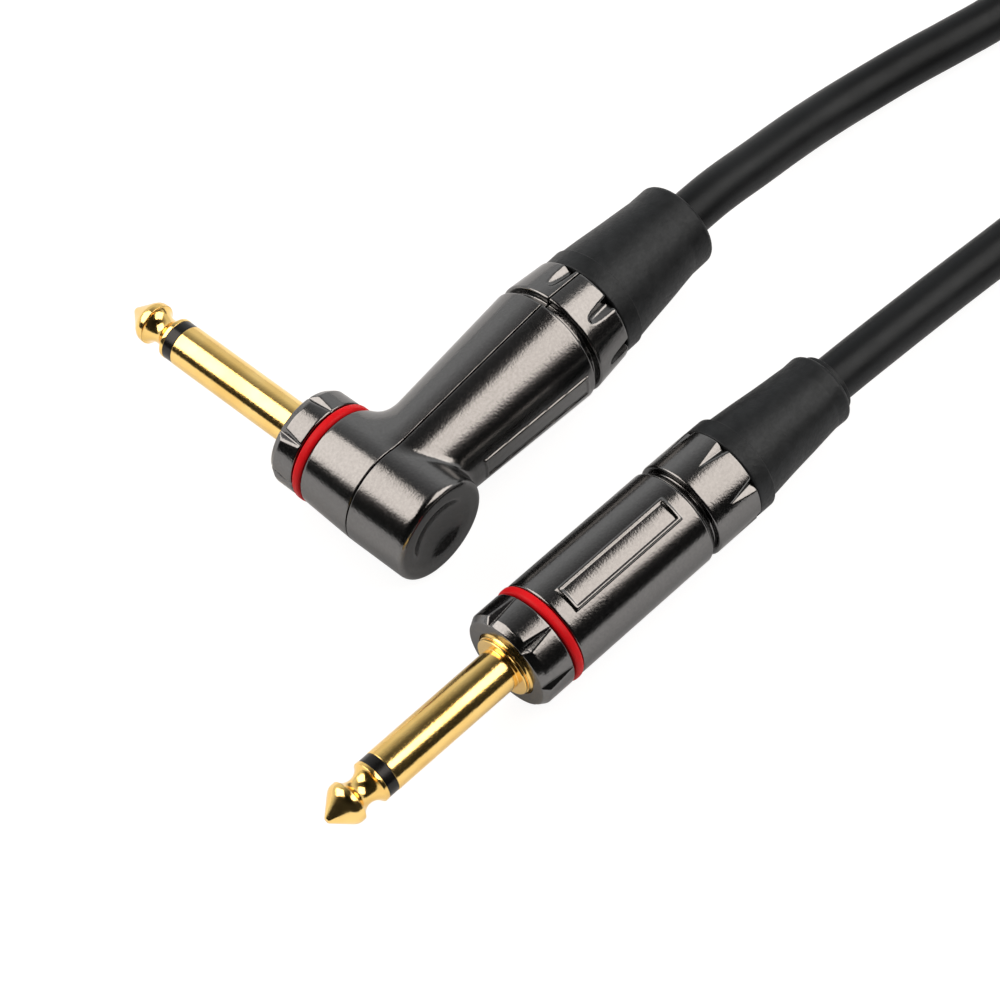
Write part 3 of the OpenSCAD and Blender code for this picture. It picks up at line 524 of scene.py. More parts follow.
def thread_cut(u, angle):
    """Depth of a right-hand thread's groove below its crest."""
    turn = (u / PITCH - angle / (2 * math.pi)) % 1
    return THREAD_DEPTH * np.abs(2 * turn - 1)


def threaded(u, r, angle, low, high):
    """Radius of a surface with a thread between two places, cut where it lies at the crest's radius."""
    fade = smooth_step(low, low + THREAD_FADE, u) * (1 - smooth_step(high - THREAD_FADE, high, u))
    return np.where(np.abs(r - THREAD_R) < ON_CREST, THREAD_R - thread_cut(u, angle) * fade, r)


# The jacks: places along a jack from its point, and radii
JACK_R = 3.175
BAND_FRONT, BAND_BACK, BAND_R = 8.65, 10.35, 3.125
ROD_R, ROD_END = 1.4, 49.78
TUBE_R = 2.13
FLANGE_FRONT, FLANGE_BACK, FLANGE_R = 46.55, 47.95, 6.32
SLEEVE_BACK_R = 5.0
# Room between pieces that fit into each other
SLIP = 0.03
WAIST_MIDDLE, WAIST_SWEEP, WAIST_POINTS = (6.225, 4.15), 1.06, 19
WAIST_R = 2.1
WAIST = [
    (WAIST_MIDDLE[0] - WAIST_R * math.sin(t), WAIST_MIDDLE[1] - WAIST_R * math.cos(t))
    for t in np.linspace(WAIST_SWEEP, -WAIST_SWEEP, WAIST_POINTS)
]
TIP = [
    (0.2, 0), (0.2, 0.42, 0.32), (2.82, 2.727), (3.2, 2.99), (3.55, 3.118), (3.8, 3.15), (4.36, 3.15, 0.14),
    *WAIST,
    (8.09, 3.17, 0.1), (BAND_FRONT, 3.17, 0.06), (BAND_FRONT, ROD_R), (ROD_END, ROD_R), (ROD_END, 0),
]
BAND = [
    (BAND_FRONT, ROD_R + SLIP), (BAND_FRONT, BAND_R, 0.05), (BAND_BACK, BAND_R, 0.05), (BAND_BACK, TUBE_R),
    (FLANGE_BACK, TUBE_R), (FLANGE_BACK, ROD_R + SLIP),
]
RING_FRONT, RING_BACK, RING_BORE, RING_R, RING_EDGE = 38.75, 40.2, 6.3, 7.75, 0.5
RING = [
    (RING_FRONT, RING_BORE), (RING_FRONT, RING_R, RING_EDGE), (RING_BACK, RING_R, RING_EDGE),
    (RING_BACK, RING_BORE),
]
NUT_R, NUT_FRONT, NUT_BACK, NUT_END = 7.6, 33.05, 38.55, 46.5
NUT_BORE = 5.1
NUT_THREAD = (40.5, 46.4)
# The edge of the nut's head at its back, which stays round
NUT_RIM = 0.05
BEVEL_R, BEVEL_LEN = 6.95, 1.05
# Where the floors of the notches would meet the nut's own surface
NOTCH_APEX = 39.4


def sleeve_outline(extra):
    """The sleeve, whose collar, step and shoulder start farther back by extra."""
    collar, step, shoulder = 32.2 + extra, 32.7 + extra, 33.2 + extra
    collar_back = 32.58 + extra
    return [
        (BAND_BACK, TUBE_R + SLIP), (BAND_BACK, JACK_R, 0.08), (collar, JACK_R, 0.12), (collar, 4.6, 0.14),
        (collar_back, 4.6, 0.1), (collar_back, 4.42), (step, 4.42), (step, 4.7, 0.08), (shoulder, 4.7),
        (shoulder, SLEEVE_BACK_R), (FLANGE_FRONT, SLEEVE_BACK_R), (FLANGE_FRONT, FLANGE_R),
        (FLANGE_BACK, FLANGE_R), (FLANGE_BACK, TUBE_R + SLIP),
    ]


def nut_outline(front):
    return [
        (front, NUT_BORE), (front, BEVEL_R, 0.3, 0.1), (front + BEVEL_LEN, NUT_R, 0.6, 0.15),
        (NUT_BACK, NUT_R, 0.3), (NUT_BACK, THREAD_R, 0, THREAD_STEP), (NUT_END, THREAD_R),
        (NUT_END, NUT_BORE),
    ]


def nut_shape(front, turn):
    def shape(u, r, angle):
        outer = np.interp(u, (front, front + BEVEL_LEN), (BEVEL_R, NUT_R))
        floor = NUT_R - NOTCH_DEPTH * (NOTCH_APEX - u) / (NOTCH_APEX - front)
        head = notched(r, angle, turn, floor, outer, NUT_BORE)
        return np.where(u < NUT_BACK - NUT_RIM, head, threaded(u, r, angle, *NUT_THREAD))

    return shape


def add_jack(plug, axis, nut_turn, extra):
    tip = lathe(plug + "_tip", axis, section(TIP, closed=False), sides=96, closed=False)
    dress(tip, "cable", "gold", plug + "_tip_contact")
    band = lathe(plug + "_band", axis, section(BAND), sides=96)
    dress(band, "cable", "black_plastic", plug + "_insulator")
    sleeve = lathe(plug + "_jack_sleeve", axis, section(sleeve_outline(extra)), sides=128)
    dress(sleeve, "cable", "gold", plug + "_sleeve")
    front = NUT_FRONT + extra
    shape = nut_shape(front, nut_turn)
    nut = lathe(plug + "_nose", axis, section(nut_outline(front)), sides=480, shape=shape)
    dress(nut, plug + "_nose", "gunmetal", plug + "_nose_nut")
    ring = lathe(plug + "_ring", axis, section(RING), sides=160)
    dress(ring, plug + "_ring", "red_ring", plug + "_colour_ring")


# The framed panel on each barrel
PANEL_LEN, PANEL_W, PANEL_RIM, PANEL_HEIGHT, PANEL_SLOPE = 20.0, 4.0, 0.45, 0.2, 0.08


def panel(along, across):
    """Height of the framed panel at a place measured from the middle of its front edge."""
    inside = np.minimum(np.minimum(along, PANEL_LEN - along), PANEL_W / 2 - np.abs(across))
    outer = smooth_step(-PANEL_SLOPE, PANEL_SLOPE, inside)
    inner = smooth_step(PANEL_RIM - PANEL_SLOPE, PANEL_RIM + PANEL_SLOPE, inside)
    return PANEL_HEIGHT * (outer - inner)


# The straight plug: places along it from its point, radii, and turns in degrees
STRAIGHT_NOSE_TURN = 208
STRAIGHT_PANEL_TURN, STRAIGHT_PANEL_AT = 197.4, 42.75
BARREL_R, BARREL_FRONT, BARREL_BACK = 7.6, 40.25, 65.25
# The bores for the nuts' threads, the narrower one between them, and where the rear thread's bore starts
SOCKET_R, LINER_R, REAR_SOCKET = 6.35, 5.6, 57.25
# Only points this near the outside are raised
OUTER_SKIN = 0.2
STRAIGHT_BARREL = [
    (BARREL_FRONT, SOCKET_R), (BARREL_FRONT, BARREL_R, 0.35, 0.2), (BARREL_BACK, BARREL_R, 0.35),
    (BARREL_BACK, SOCKET_R), (REAR_SOCKET, SOCKET_R), (REAR_SOCKET, LINER_R), (FLANGE_BACK, LINER_R),
    (FLANGE_BACK, SOCKET_R),
]
GLAND_TURN = 235.7
GLAND_R, GLAND_FRONT, GLAND_HEAD, GLAND_BACK = 7.6, 58.25, 66.6, 74.7
GLAND_BORE, GLAND_SEAT, GLAND_SEAT_R, GLAND_THROAT = 5.2, 69.55, 6.22, 4.2
GLAND_THREAD = (58.4, 65.2)
GLAND_NOTCH_START = 70.1
HEAD_MARGIN = 0.1
GLAND = [
    (GLAND_FRONT, GLAND_BORE), (GLAND_FRONT, THREAD_R, 0, THREAD_STEP), (65.3, THREAD_R), (65.3, 7.35),
    (66.15, 6.9, 0.15), (66.25, 6.5, 0.1), (GLAND_HEAD, 6.5), (GLAND_HEAD, GLAND_R, 0.35, 0.15),
    (GLAND_BACK, GLAND_R, 0.2), (GLAND_BACK, GLAND_SEAT_R), (GLAND_SEAT, GLAND_SEAT_R),
    (GLAND_SEAT, GLAND_THROAT), (68.65, GLAND_THROAT), (66.25, GLAND_BORE),
]
# Of both boots: the wide bore at the end, and the close one inside it
BOOT_BORE, BOOT_GRIP = 4.2, 3.8
STRAIGHT_BOOT_END = 96.2
STRAIGHT_BOOT = [
    (69.6, 4.5), (69.6, 6.19), (74.75, 6.19), (74.75, 7.5, 0.25), (77.65, 7.5, 0.15),
    (77.65, 6.92, 0.12, 0.5), (92.6, 5.61, 0.3, 0.4), (95.2, 5.68, 0.75), (95.2, 4.55, 0.1),
    (STRAIGHT_BOOT_END, 4.55, 0.15), (STRAIGHT_BOOT_END, BOOT_BORE, 0.1), (88.2, BOOT_BORE),
    (88.2, BOOT_GRIP), (70.35, BOOT_GRIP), (70.35, 4.5),
]
# Dents are on a boot's outside only: they start at the first radius and are full from the second
DENT_DEPTH, DENT_START_R, DENT_FULL_R = 0.035, 5, 5.4


def barrel_shape(u, r, angle):
    off = (angle - math.radians(STRAIGHT_PANEL_TURN) + math.pi) % (2 * math.pi) - math.pi
    raised = panel(u - STRAIGHT_PANEL_AT, off * BARREL_R)
    return np.where(r > BARREL_R - OUTER_SKIN, r + raised, r)


def gland_shape(u, r, angle):
    floor = GLAND_R - NOTCH_DEPTH * (u - GLAND_NOTCH_START) / (GLAND_BACK - GLAND_NOTCH_START)
    head = notched(r, angle, GLAND_TURN, floor, GLAND_R, GLAND_SEAT_R)
    return np.where(u > GLAND_HEAD - HEAD_MARGIN, head, threaded(u, r, angle, *GLAND_THREAD))


def boot_shape(u, r, angle):
    """Shallow dents from slow waves round and along a boot, as soft rubber has."""
    dent = np.sin(3 * angle + 0.4 * u) * np.sin(0.31 * u + 1) + 0.7 * np.sin(2 * angle - 0.23 * u + 2)
    return r + DENT_DEPTH * dent * smooth_step(DENT_START_R, DENT_FULL_R, r)


def add_straight_plug():
    add_jack("straight", STRAIGHT, STRAIGHT_NOSE_TURN, 0)
    barrel = lathe("straight_body", STRAIGHT, section(STRAIGHT_BARREL), sides=400, shape=barrel_shape)
    dress(barrel, "cable", "gunmetal", "straight_barrel")
    gland = lathe("straight_gland_collar", STRAIGHT, section(GLAND), sides=480, shape=gland_shape)
    dress(gland, "straight_gland", "gunmetal", "straight_gland_nut")
    boot = lathe("straight_sleeve_boot", STRAIGHT, section(STRAIGHT_BOOT), sides=128, shape=boot_shape)
    dress(boot, "straight_gland", "boot_rubber", "straight_boot")


# Surfaces where a field of distances is zero
SLOPE_STEP = 0.01
LEAST_SLOPE = 0.2
FARTHEST_MOVE = 0.08
MOVES = 3


def onto(field, points):
    """Points moved along the field's slope towards where it is 0."""
    value = field(*points.T)
    slope = np.stack([
        (field(*(points + SLOPE_STEP * e).T) - field(*(points - SLOPE_STEP * e).T)) / (2 * SLOPE_STEP)
        for e in np.eye(3)
    ], -1)
    size = np.maximum((slope ** 2).sum(-1), LEAST_SLOPE)
    return points - np.clip(value / size, -FARTHEST_MOVE, FARTHEST_MOVE)[:, None] * slope


def skin(field, xs, ys, zs):
    """Points and quads of the surface where field is 0, one point to each grid cell that it crosses."""
    grid = np.meshgrid(xs, ys, zs, indexing="ij")
    value = field(*grid)
    inside = value < 0
    cells = tuple(n - 1 for n in value.shape)

    def corner(array, i, j, k):
        return array[i:i + cells[0], j:j + cells[1], k:k + cells[2]]

    filled = sum(corner(inside, *at).astype(int) for at in product((0, 1), repeat=3))
    crossed = (filled > 0) & (filled < 8)
    number = np.full(cells, -1)
    number[crossed] = np.arange(crossed.sum())
    # A cell's point is the mean of where its twelve edges cross the surface
    total = np.zeros((crossed.sum(), 3))
    weight = np.zeros(crossed.sum())
    for way, s, t in product(range(3), (0, 1), (0, 1)):
        low, high = [s, t], [s, t]
        low.insert(way, 0)
        high.insert(way, 1)
        a, b = corner(value, *low)[crossed], corner(value, *high)[crossed]
        cut = (a < 0) != (b < 0)
        f = np.where(cut, a / np.where(cut, a - b, 1), 0)[:, None]
        p = np.stack([corner(g, *low)[crossed] for g in grid], -1)
        q = np.stack([corner(g, *high)[crossed] for g in grid], -1)
        total += np.where(cut[:, None], p + f * (q - p), 0)
        weight += cut
    points = total / weight[:, None]
    # Each grid edge that crosses the surface has a quad between the four cells round it
    quads = []
    for way in range(3):
        first = [slice(1, -1)] * 3
        first[way] = slice(0, -1)
        second = list(first)
        second[way] = slice(1, None)
        cut = inside[tuple(first)] != inside[tuple(second)]
        at = np.argwhere(cut) + np.where(np.arange(3) == way, 0, 1)
        s, t = [np.eye(3, dtype=int)[k] for k in range(3) if k != way]
        quads.append(np.stack([number[tuple((at - d).T)] for d in (0 * s, s, s + t, t)], -1))
    for _ in range(MOVES):
        points = onto(field, points)
    return points, np.concatenate(quads)


def stretches(*starts):
    """Grid places from stretches given by their start and step. The last start ends the grid, and a step that
    would be under a third of the others is left out."""
    return np.concatenate([
        np.arange(start, end - step / 3, step) for (start, step), (end, _) in zip(starts, starts[1:])
    ])


# The right-angle plug's shells: v along the barrel, w along the jack and z up, from where the two axes cross
STUB_R, STUB_TAPER, STUB_FRONT, STUB_BACK = 8.1, 0.5, 9.3, -10.4
ELBOW_R, ELBOW_FLARE, ELBOW_END = 7.35, 0.064, 32.8
RIM_EDGE, BACK_EDGE = 0.45, 1.1
# The blend where stub and barrel meet: the least, what is added at the sides, what the jack's side adds, and
# how far from the seam that starts and ends
CREASE, FILLET, FRONT_FILLET, FILLET_CHANGE = 0.4, 1.2, 2.6, 1.5
ANGLE_PANEL_AT = 11.5
GROOVE_R, GROOVE_MIDDLE, GROOVE_HALF = 8.1, 33.4, 1.2
COLLAR_R, COLLAR_TAPER, COLLAR_FRONT, COLLAR_HALF, COLLAR_EDGE = 9.4, 0.097, 34, 3.35, 0.4
# The collar's notches have round bottoms and deepen towards its rear end
COLLAR_TURN = 219.6
COLLAR_NOTCH_START, COLLAR_NOTCH_LEN = 36.0, 4.7
COLLAR_NOTCH_TOP, COLLAR_NOTCH_DEPTH = 9.2, 1.45
COLLAR_NOTCH_ANGLE, COLLAR_NOTCH_ROUND, COLLAR_NOTCH_EDGE = math.radians(42), 0.5, 0.16
NECK_R, NECK_MIDDLE, NECK_HALF, NECK_THREAD_START = 6.05, 43.15, 4.15, 40.9
# Inside: the nose nut's socket, the jack's chamber, the barrel's bore and the rear bore
SOCKET_FLOOR = 1.6
CHAMBER_R, CHAMBER_MIDDLE, CHAMBER_HALF = 5.6, -2.55, 5.15
BORE_R, BORE_HALF = 5.6, 18.7
REAR_BORE_R = 4.95
HOLLOW_EDGE = 0.1
# The dish in the end face is part of a sphere
DISH_R, DISH_MIDDLE, DISH_EDGE = 9.11, -17.81, 0.4
SEAM_GAP, SEAM_EDGE = 0.1, 0.14
# Grids that are finer at the panel's ends, the collar, the seam and the panel's sides
GRID_V = stretches((-8.9, 0.26), (11, 0.1), (12.4, 0.26), (30.6, 0.1), (32, 0.17), (48, 0))
GRID_W = stretches((-0.2, 0.06), (0.6, 0.25), (11.2, 0))
GRID_Z = stretches((-9.94, 0.24), (-2.6, 0.11), (2.6, 0.24), (10, 0))


def tubes_field(v, w, z):
    """Distance to the stub round the jack and the barrel, with the panel's frame."""
    from_jack, from_barrel = np.hypot(v, z), np.hypot(w, z)
    stub = from_jack - (STUB_R - STUB_TAPER * np.clip(w / STUB_FRONT, 0, 1))
    stub = soft_max(soft_max(stub, w - STUB_FRONT, RIM_EDGE), STUB_BACK - w, BACK_EDGE)
    barrel = np.maximum(from_barrel - (ELBOW_R + ELBOW_FLARE * v), -v)
    barrel = soft_max(barrel, v - ELBOW_END, RIM_EDGE)
    # 0 where the two tubes face the same way, 1 at their sides
    apart = 1 - z ** 2 / np.maximum(from_jack * from_barrel, 1)
    fillet = FILLET + FRONT_FILLET * smooth_step(-FILLET_CHANGE, FILLET_CHANGE, w)
    body = soft_min(stub, barrel, CREASE + fillet * np.clip(apart, 0, 1))
    return body - np.where(w < 0, panel(v - ANGLE_PANEL_AT, z), 0)


def collar_field(v, from_barrel, angle):
    """Distance to the notched collar."""
    side = from_barrel - (COLLAR_R - COLLAR_TAPER * (v - COLLAR_FRONT))
    collar = soft_max(side, np.abs(v - COLLAR_FRONT - COLLAR_HALF) - COLLAR_HALF, COLLAR_EDGE)
    behind = v - COLLAR_NOTCH_START
    deep = np.sqrt(np.clip(behind / COLLAR_NOTCH_LEN, 0, None)) - np.clip(-behind, 0, None)
    floor = COLLAR_NOTCH_TOP - COLLAR_NOTCH_DEPTH * deep
    off = from_notch(angle, COLLAR_TURN)
    aside, out = from_barrel * np.sin(off), from_barrel * np.cos(off)
    notch = np.hypot(aside, COLLAR_NOTCH_ROUND) - COLLAR_NOTCH_ROUND
    notch = notch - (out - floor) * math.tan(COLLAR_NOTCH_ANGLE)
    return soft_max(collar, -notch * math.cos(COLLAR_NOTCH_ANGLE), COLLAR_NOTCH_EDGE)


def elbow_field(v, w, z):
    """Distance to the closed right-angle body."""
    from_barrel = np.hypot(w, z)
    angle = np.arctan2(w, -z)
    body = tubes_field(v, w, z)
    groove = np.maximum(from_barrel - GROOVE_R, np.abs(v - GROOVE_MIDDLE) - GROOVE_HALF)
    collar = collar_field(v, from_barrel, angle)
    fade = smooth_step(NECK_THREAD_START, NECK_THREAD_START + THREAD_FADE, v)
    neck = from_barrel - NECK_R + thread_cut(v, angle) * fade
    neck = np.maximum(neck, np.abs(v - NECK_MIDDLE) - NECK_HALF)
    return np.minimum(np.minimum(body, groove), np.minimum(collar, neck))


def hollow_field(v, w, z):
    from_jack, from_barrel = np.hypot(v, z), np.hypot(w, z)
    socket = np.maximum(from_jack - SOCKET_R, SOCKET_FLOOR - w)
    chamber = np.maximum(from_jack - CHAMBER_R, np.abs(w - CHAMBER_MIDDLE) - CHAMBER_HALF)
    bore = np.maximum(from_barrel - BORE_R, np.abs(v - BORE_HALF) - BORE_HALF)
    rear = np.maximum(from_barrel - REAR_BORE_R, -v)
    return np.minimum(np.minimum(socket, chamber), np.minimum(bore, rear))


def shell_field(side):
    """One half of the body, on the jack's side of the seam (1) or the other (-1)."""

    def field(v, w, z):
        dish = np.sqrt(v ** 2 + (w - DISH_MIDDLE) ** 2 + z ** 2) - DISH_R
        half = soft_max(elbow_field(v, w, z), -dish, DISH_EDGE)
        half = soft_max(half, -hollow_field(v, w, z), HOLLOW_EDGE)
        return soft_max(half, SEAM_GAP - side * w, SEAM_EDGE)

    return field


def add_shell(name, side, node):
    grid_w = GRID_W if side > 0 else -GRID_W[::-1]
    points, quads = skin(shell_field(side), GRID_V, grid_w, GRID_Z)
    v, w, z = points.T
    points = ELBOW + v[:, None] * ALONG_BARREL + w[:, None] * ALONG_JACK + z[:, None] * UP
    dress(mesh_object(name, points, quads.tolist()), "cable", "gunmetal", node)


# The right-angle plug's other pieces
ANGLE_NOSE_TURN = 128.6
ANGLE_JACK_EXTRA = 1.1
ANGLE_BOOT_SEAT_R = 6.98
ANGLE_BOOT = [
    (40.75, ANGLE_BOOT_SEAT_R), (40.75, 8.5, 0.25), (43.75, 8.5, 0.12), (43.75, 8.27, 0.08, 0.5),
    (57.4, 6.85, 1, 0.4), (61.35, 6.84, 0.8), (61.35, BOOT_BORE, 0.25), (ANGLE_THROAT, BOOT_BORE),
    (ANGLE_THROAT, BOOT_GRIP), (51.45, BOOT_GRIP), (51.45, 4.5), (50.7, 4.5), (50.7, ANGLE_BOOT_SEAT_R),
]


def add_angle_plug():
    add_jack("angle", ANGLE_JACK, ANGLE_NOSE_TURN, ANGLE_JACK_EXTRA)
    add_shell("angle_front_half", 1, "angle_front_shell")
    add_shell("angle_back_half", -1, "angle_back_shell")
    boot = lathe("angle_sleeve_boot", BARREL, section(ANGLE_BOOT), sides=144, shape=boot_shape)
    dress(boot, "angle_gland", "boot_rubber", "angle_boot")


# The ties: a loop round the coil's turns from TIE_LOW to TIE_HIGH, each (out from the coil's middle, up),
# and a tail on top whose end lifts a little
TIE_LOW, TIE_HIGH = np.array((26.52, 0.8)), np.array((54.15, 30.4))
TIE_T, TIE_W, TIE_ROUND, TIE_EDGE = 0.8, 10.0, 2.0, 0.3
TIE_STEP = 1.0
TIE_ROUND_STEPS = 8
TIE_SHARP = math.radians(50)
TAIL_START, TAIL_BEND, TAIL_END = 33, 47, 51
TAIL_GAP, TAIL_LIFT = 0.02, 0.25


def strap(path, closed):
    """Points and faces of a flat strap: path has (out from the coil's middle, up), and the strap lies on its
    left side."""
    half, edge = TIE_W / 2, TIE_EDGE
    across = [
        (-half + edge, 0), (half - edge, 0), (half, edge), (half, TIE_T - edge), (half - edge, TIE_T),
        (half / 3, TIE_T), (-half / 3, TIE_T), (-half + edge, TIE_T), (-half, TIE_T - edge), (-half, edge),
    ]
    path = np.array(path)
    ahead = np.roll(path, -1, 0) - np.roll(path, 1, 0)
    if not closed:
        ahead[0], ahead[-1] = path[1] - path[0], path[-1] - path[-2]
    ahead /= np.linalg.norm(ahead, axis=1)[:, None]
    out = np.stack((-ahead[:, 1], ahead[:, 0]), -1)
    side, rise = np.array(across).T
    flat = path[:, None] + rise[None, :, None] * out[:, None]
    points = np.stack((flat[..., 0], np.repeat(side[None], len(path), 0), flat[..., 1]), -1).reshape(-1, 3)
    n = len(across)
    faces = []
    for i in range(len(path) if closed else len(path) - 1):
        here, after = i * n, (i + 1) % len(path) * n
        faces += [(here + j, here + (j + 1) % n, after + (j + 1) % n, after + j) for j in range(n)]
    if not closed:
        faces += [tuple(range(n)), tuple((len(path) - 1) * n + j for j in range(n))]
    return points, faces


def rounded_box(low, high, r):
    """A rounded rectangle's points, clockwise, so that a strap's left side is outside it."""
    corners = [
        ((low[0] + r, low[1] + r), 270), ((low[0] + r, high[1] - r), 180),
        ((high[0] - r, high[1] - r), 90), ((high[0] - r, low[1] + r), 0),
    ]
    points = []
    for centre, start in corners:
        for k in range(TIE_ROUND_STEPS + 1):
            a = math.radians(start - k * 90 / TIE_ROUND_STEPS)
            points.append(np.array(centre) + r * np.array((math.cos(a), math.sin(a))))
    full = []
    for p, q in zip(points, points[1:] + points[:1]):
        cuts = max(1, round(np.linalg.norm(q - p) / TIE_STEP))
        full += [p + (q - p) * k / cuts for k in range(cuts)]
    return full


def renumbered(faces, start):
    return [tuple(k + start for k in face) for face in faces]


def add_ties():
    loop, loop_faces = strap(rounded_box(TIE_LOW, TIE_HIGH, TIE_ROUND), closed=True)
    top = TIE_HIGH[1] + TIE_T + TAIL_GAP
    tail_path = [
        (x, top + TAIL_LIFT * smooth_step(TAIL_BEND, TAIL_END, x)) for x in range(TAIL_START, TAIL_END + 1)
    ]
    tail, tail_faces = strap(tail_path, closed=False)
    tie = np.concatenate((loop, tail))
    tie_faces = loop_faces + renumbered(tail_faces, len(loop))
    points = np.concatenate([COIL_MIDDLE + SHIFT + tie * np.array((turn, turn, 1)) for turn in (1, -1)])
    both = mesh_object("coil_straps", points, tie_faces + renumbered(tie_faces, len(tie)))
    both.data.set_sharp_from_angle(angle=TIE_SHARP)
    return dress(both, "cable", "tie_fabric", "coil_ties")


cable = add_cable()
straps = add_ties()
add_straight_plug()
add_angle_plug()

# Inner pieces keep their CAD solids
INNER = {
    "rear_insulator": "white_plastic", "ground_lug": "tinned_metal", "tip_lug": "tinned_metal",
    "liner": "white_plastic", "chuck": "white_plastic", "gland_nut": "gunmetal", "conductor": "copper",
    "dielectric": "white_plastic", "shield": "copper", "tip_solder": "solder", "ground_solder": "solder",
}
for name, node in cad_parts.items():
    for ending, slot in INNER.items():
        if name.endswith(ending):
            node.data.materials.clear()
            node.data.materials.append(MATERIALS[slot])

# Stage: a white table, a soft box on each side of the camera's view, and a dark room whose far wall is white
TABLE_PAINT = (0.8, 0.8, 0.8, 1)
# The table's paint and its glow, as reflections see them and as the camera does
REFLECTED_PAINT, SEEN_PAINT = (0.85, 0.89, 0.93, 1), (0.2, 0.2, 0.2, 1)
REFLECTED_GLOW, SEEN_GLOW = 0.1, 0.9
# Painted shade on the table, seen only in reflections: darkest in front of the elbow's end face
PAINTED_SHADE_MIDDLE = Vector((-6, -20, 0)) * MM
PAINTED_SHADE_START, PAINTED_SHADE_END = 8 * MM, 30 * MM
PAINTED_SHADE_LEVEL = 0.45
# The table ends a little in front of the object, so that its metal also reflects the dark room below
TABLE_NEAR, TABLE_FAR = -0.118, 5
ROOM_LIGHT = (0.1, 0.1, 0.1, 1)
PAPER = (1, 1, 1, 1)
# The walls brighten from the near level to 1 as a direction turns towards the far wall
FAR_WALL_WAY = (0.644, 0.765, 0)
FAR_WALL_START, FAR_WALL_END = -0.1, 0.2
NEAR_WALL_LEVEL = 0.03
# The walls' colour by the upward part of a direction: pale below WALL_LOW, dark above WALL_HIGH
WALL_LOW, WALL_HIGH = 0.45, 0.93
WALL_COLOUR, CEILING_COLOUR = (0.76, 0.76, 0.76, 1), (0.06, 0.06, 0.06, 1)
BOX_DISTANCE, BOX_SIZE, BOX_LEVEL = 0.75, 0.66, 3.7
BOX_COLOUR = (1, 0.91, 0.84)
BOX_ELEVATION = 46


def reflected(tree, path):
    """1 for rays that a surface reflects or lets through."""
    either = add_node(tree, "Math", "MAXIMUM")
    add_links(
        tree,
        (path.outputs["Is Glossy Ray"], either.inputs[0]),
        (path.outputs["Is Transmission Ray"], either.inputs[1]),
    )
    return either.outputs[0]


def add_table():
    """White to the camera, with part of the object's shadow. Reflections see white paint under the lamps,
    darker between the plugs by painted shade, and all other light sees plain white paint."""
    material = bpy.data.materials.new("white_table")
    material.use_nodes = True
    tree = material.node_tree
    tree.nodes.clear()
    out = add_node(tree, "OutputMaterial")
    path = add_node(tree, "LightPath")
    camera_ray = path.outputs["Is Camera Ray"]
    paint = add_node(tree, "BsdfDiffuse", Color=TABLE_PAINT)
    shadow = add_node(tree, "BsdfDiffuse")
    tone = add_node(tree, "ValToRGB")
    set_ramp(tone, (0, REFLECTED_PAINT), (1, SEEN_PAINT))
    # Painted shade: the paint that reflections see is darker near one point in front of the elbow's end face,
    # by distance, not by a cast shadow
    place = add_node(tree, "NewGeometry")
    from_painted_shade = add_node(tree, "VectorMath", "DISTANCE")
    from_painted_shade.inputs[1].default_value = PAINTED_SHADE_MIDDLE
    painted_shade = add_node(tree, "MapRange", From_Min=PAINTED_SHADE_START, From_Max=PAINTED_SHADE_END, To_Min=PAINTED_SHADE_LEVEL)
    painted_shade_factor = add_node(tree, "Math", "MAXIMUM")
    painted_shade_colour = add_node(tree, "VectorMath", "SCALE")
    level = add_node(tree, "MapRange", To_Min=REFLECTED_GLOW, To_Max=SEEN_GLOW)
    glow = add_node(tree, "Emission")
    both = add_node(tree, "AddShader")
    seen = add_node(tree, "Math", "MAXIMUM")
    mix = add_node(tree, "MixShader")
    add_links(
        tree,
        (camera_ray, tone.inputs["Fac"]),
        (camera_ray, level.inputs["Value"]),
        (camera_ray, painted_shade_factor.inputs[0]),
        (place.outputs["Position"], from_painted_shade.inputs[0]),
        (from_painted_shade.outputs["Value"], painted_shade.inputs["Value"]),
        (painted_shade.outputs["Result"], painted_shade_factor.inputs[1]),
        (tone.outputs["Color"], painted_shade_colour.inputs[0]),
        (painted_shade_factor.outputs[0], painted_shade_colour.inputs["Scale"]),
        (painted_shade_colour.outputs["Vector"], shadow.inputs["Color"]),
        (level.outputs["Result"], glow.inputs["Strength"]),
        (glow.outputs[0], both.inputs[0]),
        (shadow.outputs[0], both.inputs[1]),
        (camera_ray, seen.inputs[0]),
        (reflected(tree, path), seen.inputs[1]),
        (seen.outputs[0], mix.inputs[0]),
        (paint.outputs[0], mix.inputs[1]),
        (both.outputs[0], mix.inputs[2]),
        (mix.outputs[0], out.inputs["Surface"]),
    )
    near, far = TABLE_NEAR, TABLE_FAR
    mesh = bpy.data.meshes.new("table")
    mesh.from_pydata([(-far, near, 0), (far, near, 0), (far, far, 0), (-far, far, 0)], [], [(0, 1, 2, 3)])
    mesh.materials.append(material)
    table = bpy.data.objects.new("table", mesh)
    scene.collection.objects.link(table)


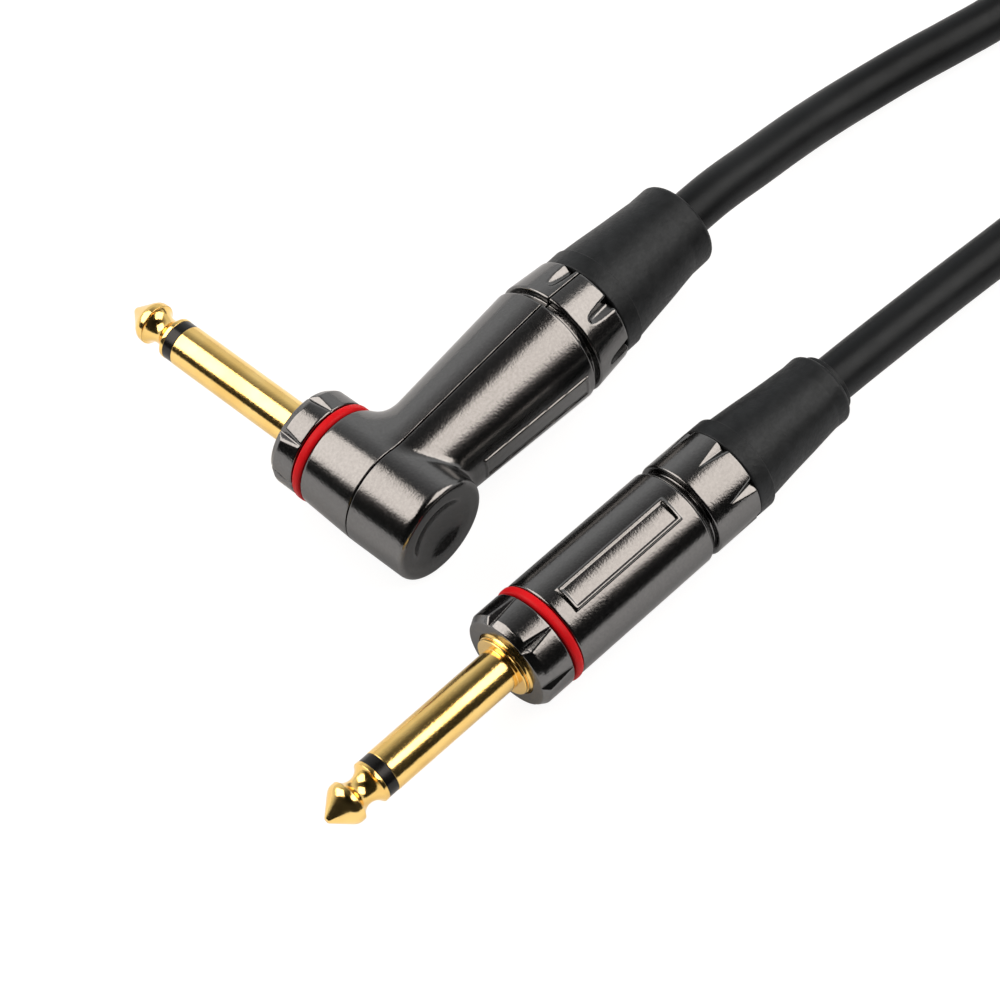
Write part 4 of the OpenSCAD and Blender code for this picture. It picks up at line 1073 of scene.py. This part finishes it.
def add_room():
    """White to the camera. Reflections see the white wall behind the object and the dark room on the camera's
    side."""
    world = bpy.data.worlds.new("studio")
    world.use_nodes = True
    scene.world = world
    tree = world.node_tree
    dim = tree.nodes["Background"]
    set_sockets(dim, {"Color": ROOM_LIGHT})
    paper = add_node(tree, "Background", Color=PAPER)
    walls = add_node(tree, "Background")
    way = add_node(tree, "TexCoord")
    path = add_node(tree, "LightPath")
    behind = add_node(tree, "VectorMath", "DOT_PRODUCT")
    behind.inputs[1].default_value = FAR_WALL_WAY
    fade = add_node(tree, "MapRange", From_Min=FAR_WALL_START, From_Max=FAR_WALL_END, To_Min=NEAR_WALL_LEVEL)
    parts = add_node(tree, "SeparateXYZ")
    wall = add_node(tree, "ValToRGB")
    set_ramp(wall, (WALL_LOW, WALL_COLOUR), (WALL_HIGH, CEILING_COLOUR))
    bounced = add_node(tree, "MixShader")
    seen = add_node(tree, "MixShader")
    add_links(
        tree,
        (way.outputs["Generated"], behind.inputs[0]),
        (behind.outputs["Value"], fade.inputs["Value"]),
        (fade.outputs["Result"], walls.inputs["Strength"]),
        (way.outputs["Generated"], parts.inputs[0]),
        (parts.outputs["Z"], wall.inputs["Fac"]),
        (wall.outputs["Color"], walls.inputs["Color"]),
        (reflected(tree, path), bounced.inputs[0]),
        (dim.outputs[0], bounced.inputs[1]),
        (walls.outputs[0], bounced.inputs[2]),
        (path.outputs["Is Camera Ray"], seen.inputs[0]),
        (bounced.outputs[0], seen.inputs[1]),
        (paper.outputs[0], seen.inputs[2]),
        (seen.outputs[0], tree.nodes["World Output"].inputs["Surface"]),
    )


def add_soft_box(name, azimuth):
    """A square box of even light that faces the object from the given side."""
    a, e = math.radians(azimuth), math.radians(BOX_ELEVATION)
    towards = Vector((math.cos(e) * math.cos(a), math.cos(e) * math.sin(a), math.sin(e)))
    data = bpy.data.lights.new(name, "AREA")
    data.shape = "SQUARE"
    data.size = BOX_SIZE
    data.energy = BOX_LEVEL * math.pi * BOX_SIZE * BOX_SIZE
    data.color = BOX_COLOUR
    lamp = bpy.data.objects.new(name, data)
    lamp.location = towards * BOX_DISTANCE
    lamp.rotation_euler = towards.to_track_quat("Z", "Y").to_euler()
    lamp.visible_camera = False
    scene.collection.objects.link(lamp)


add_table()
add_room()
add_soft_box("right_box", -37)
add_soft_box("left_box", 120)
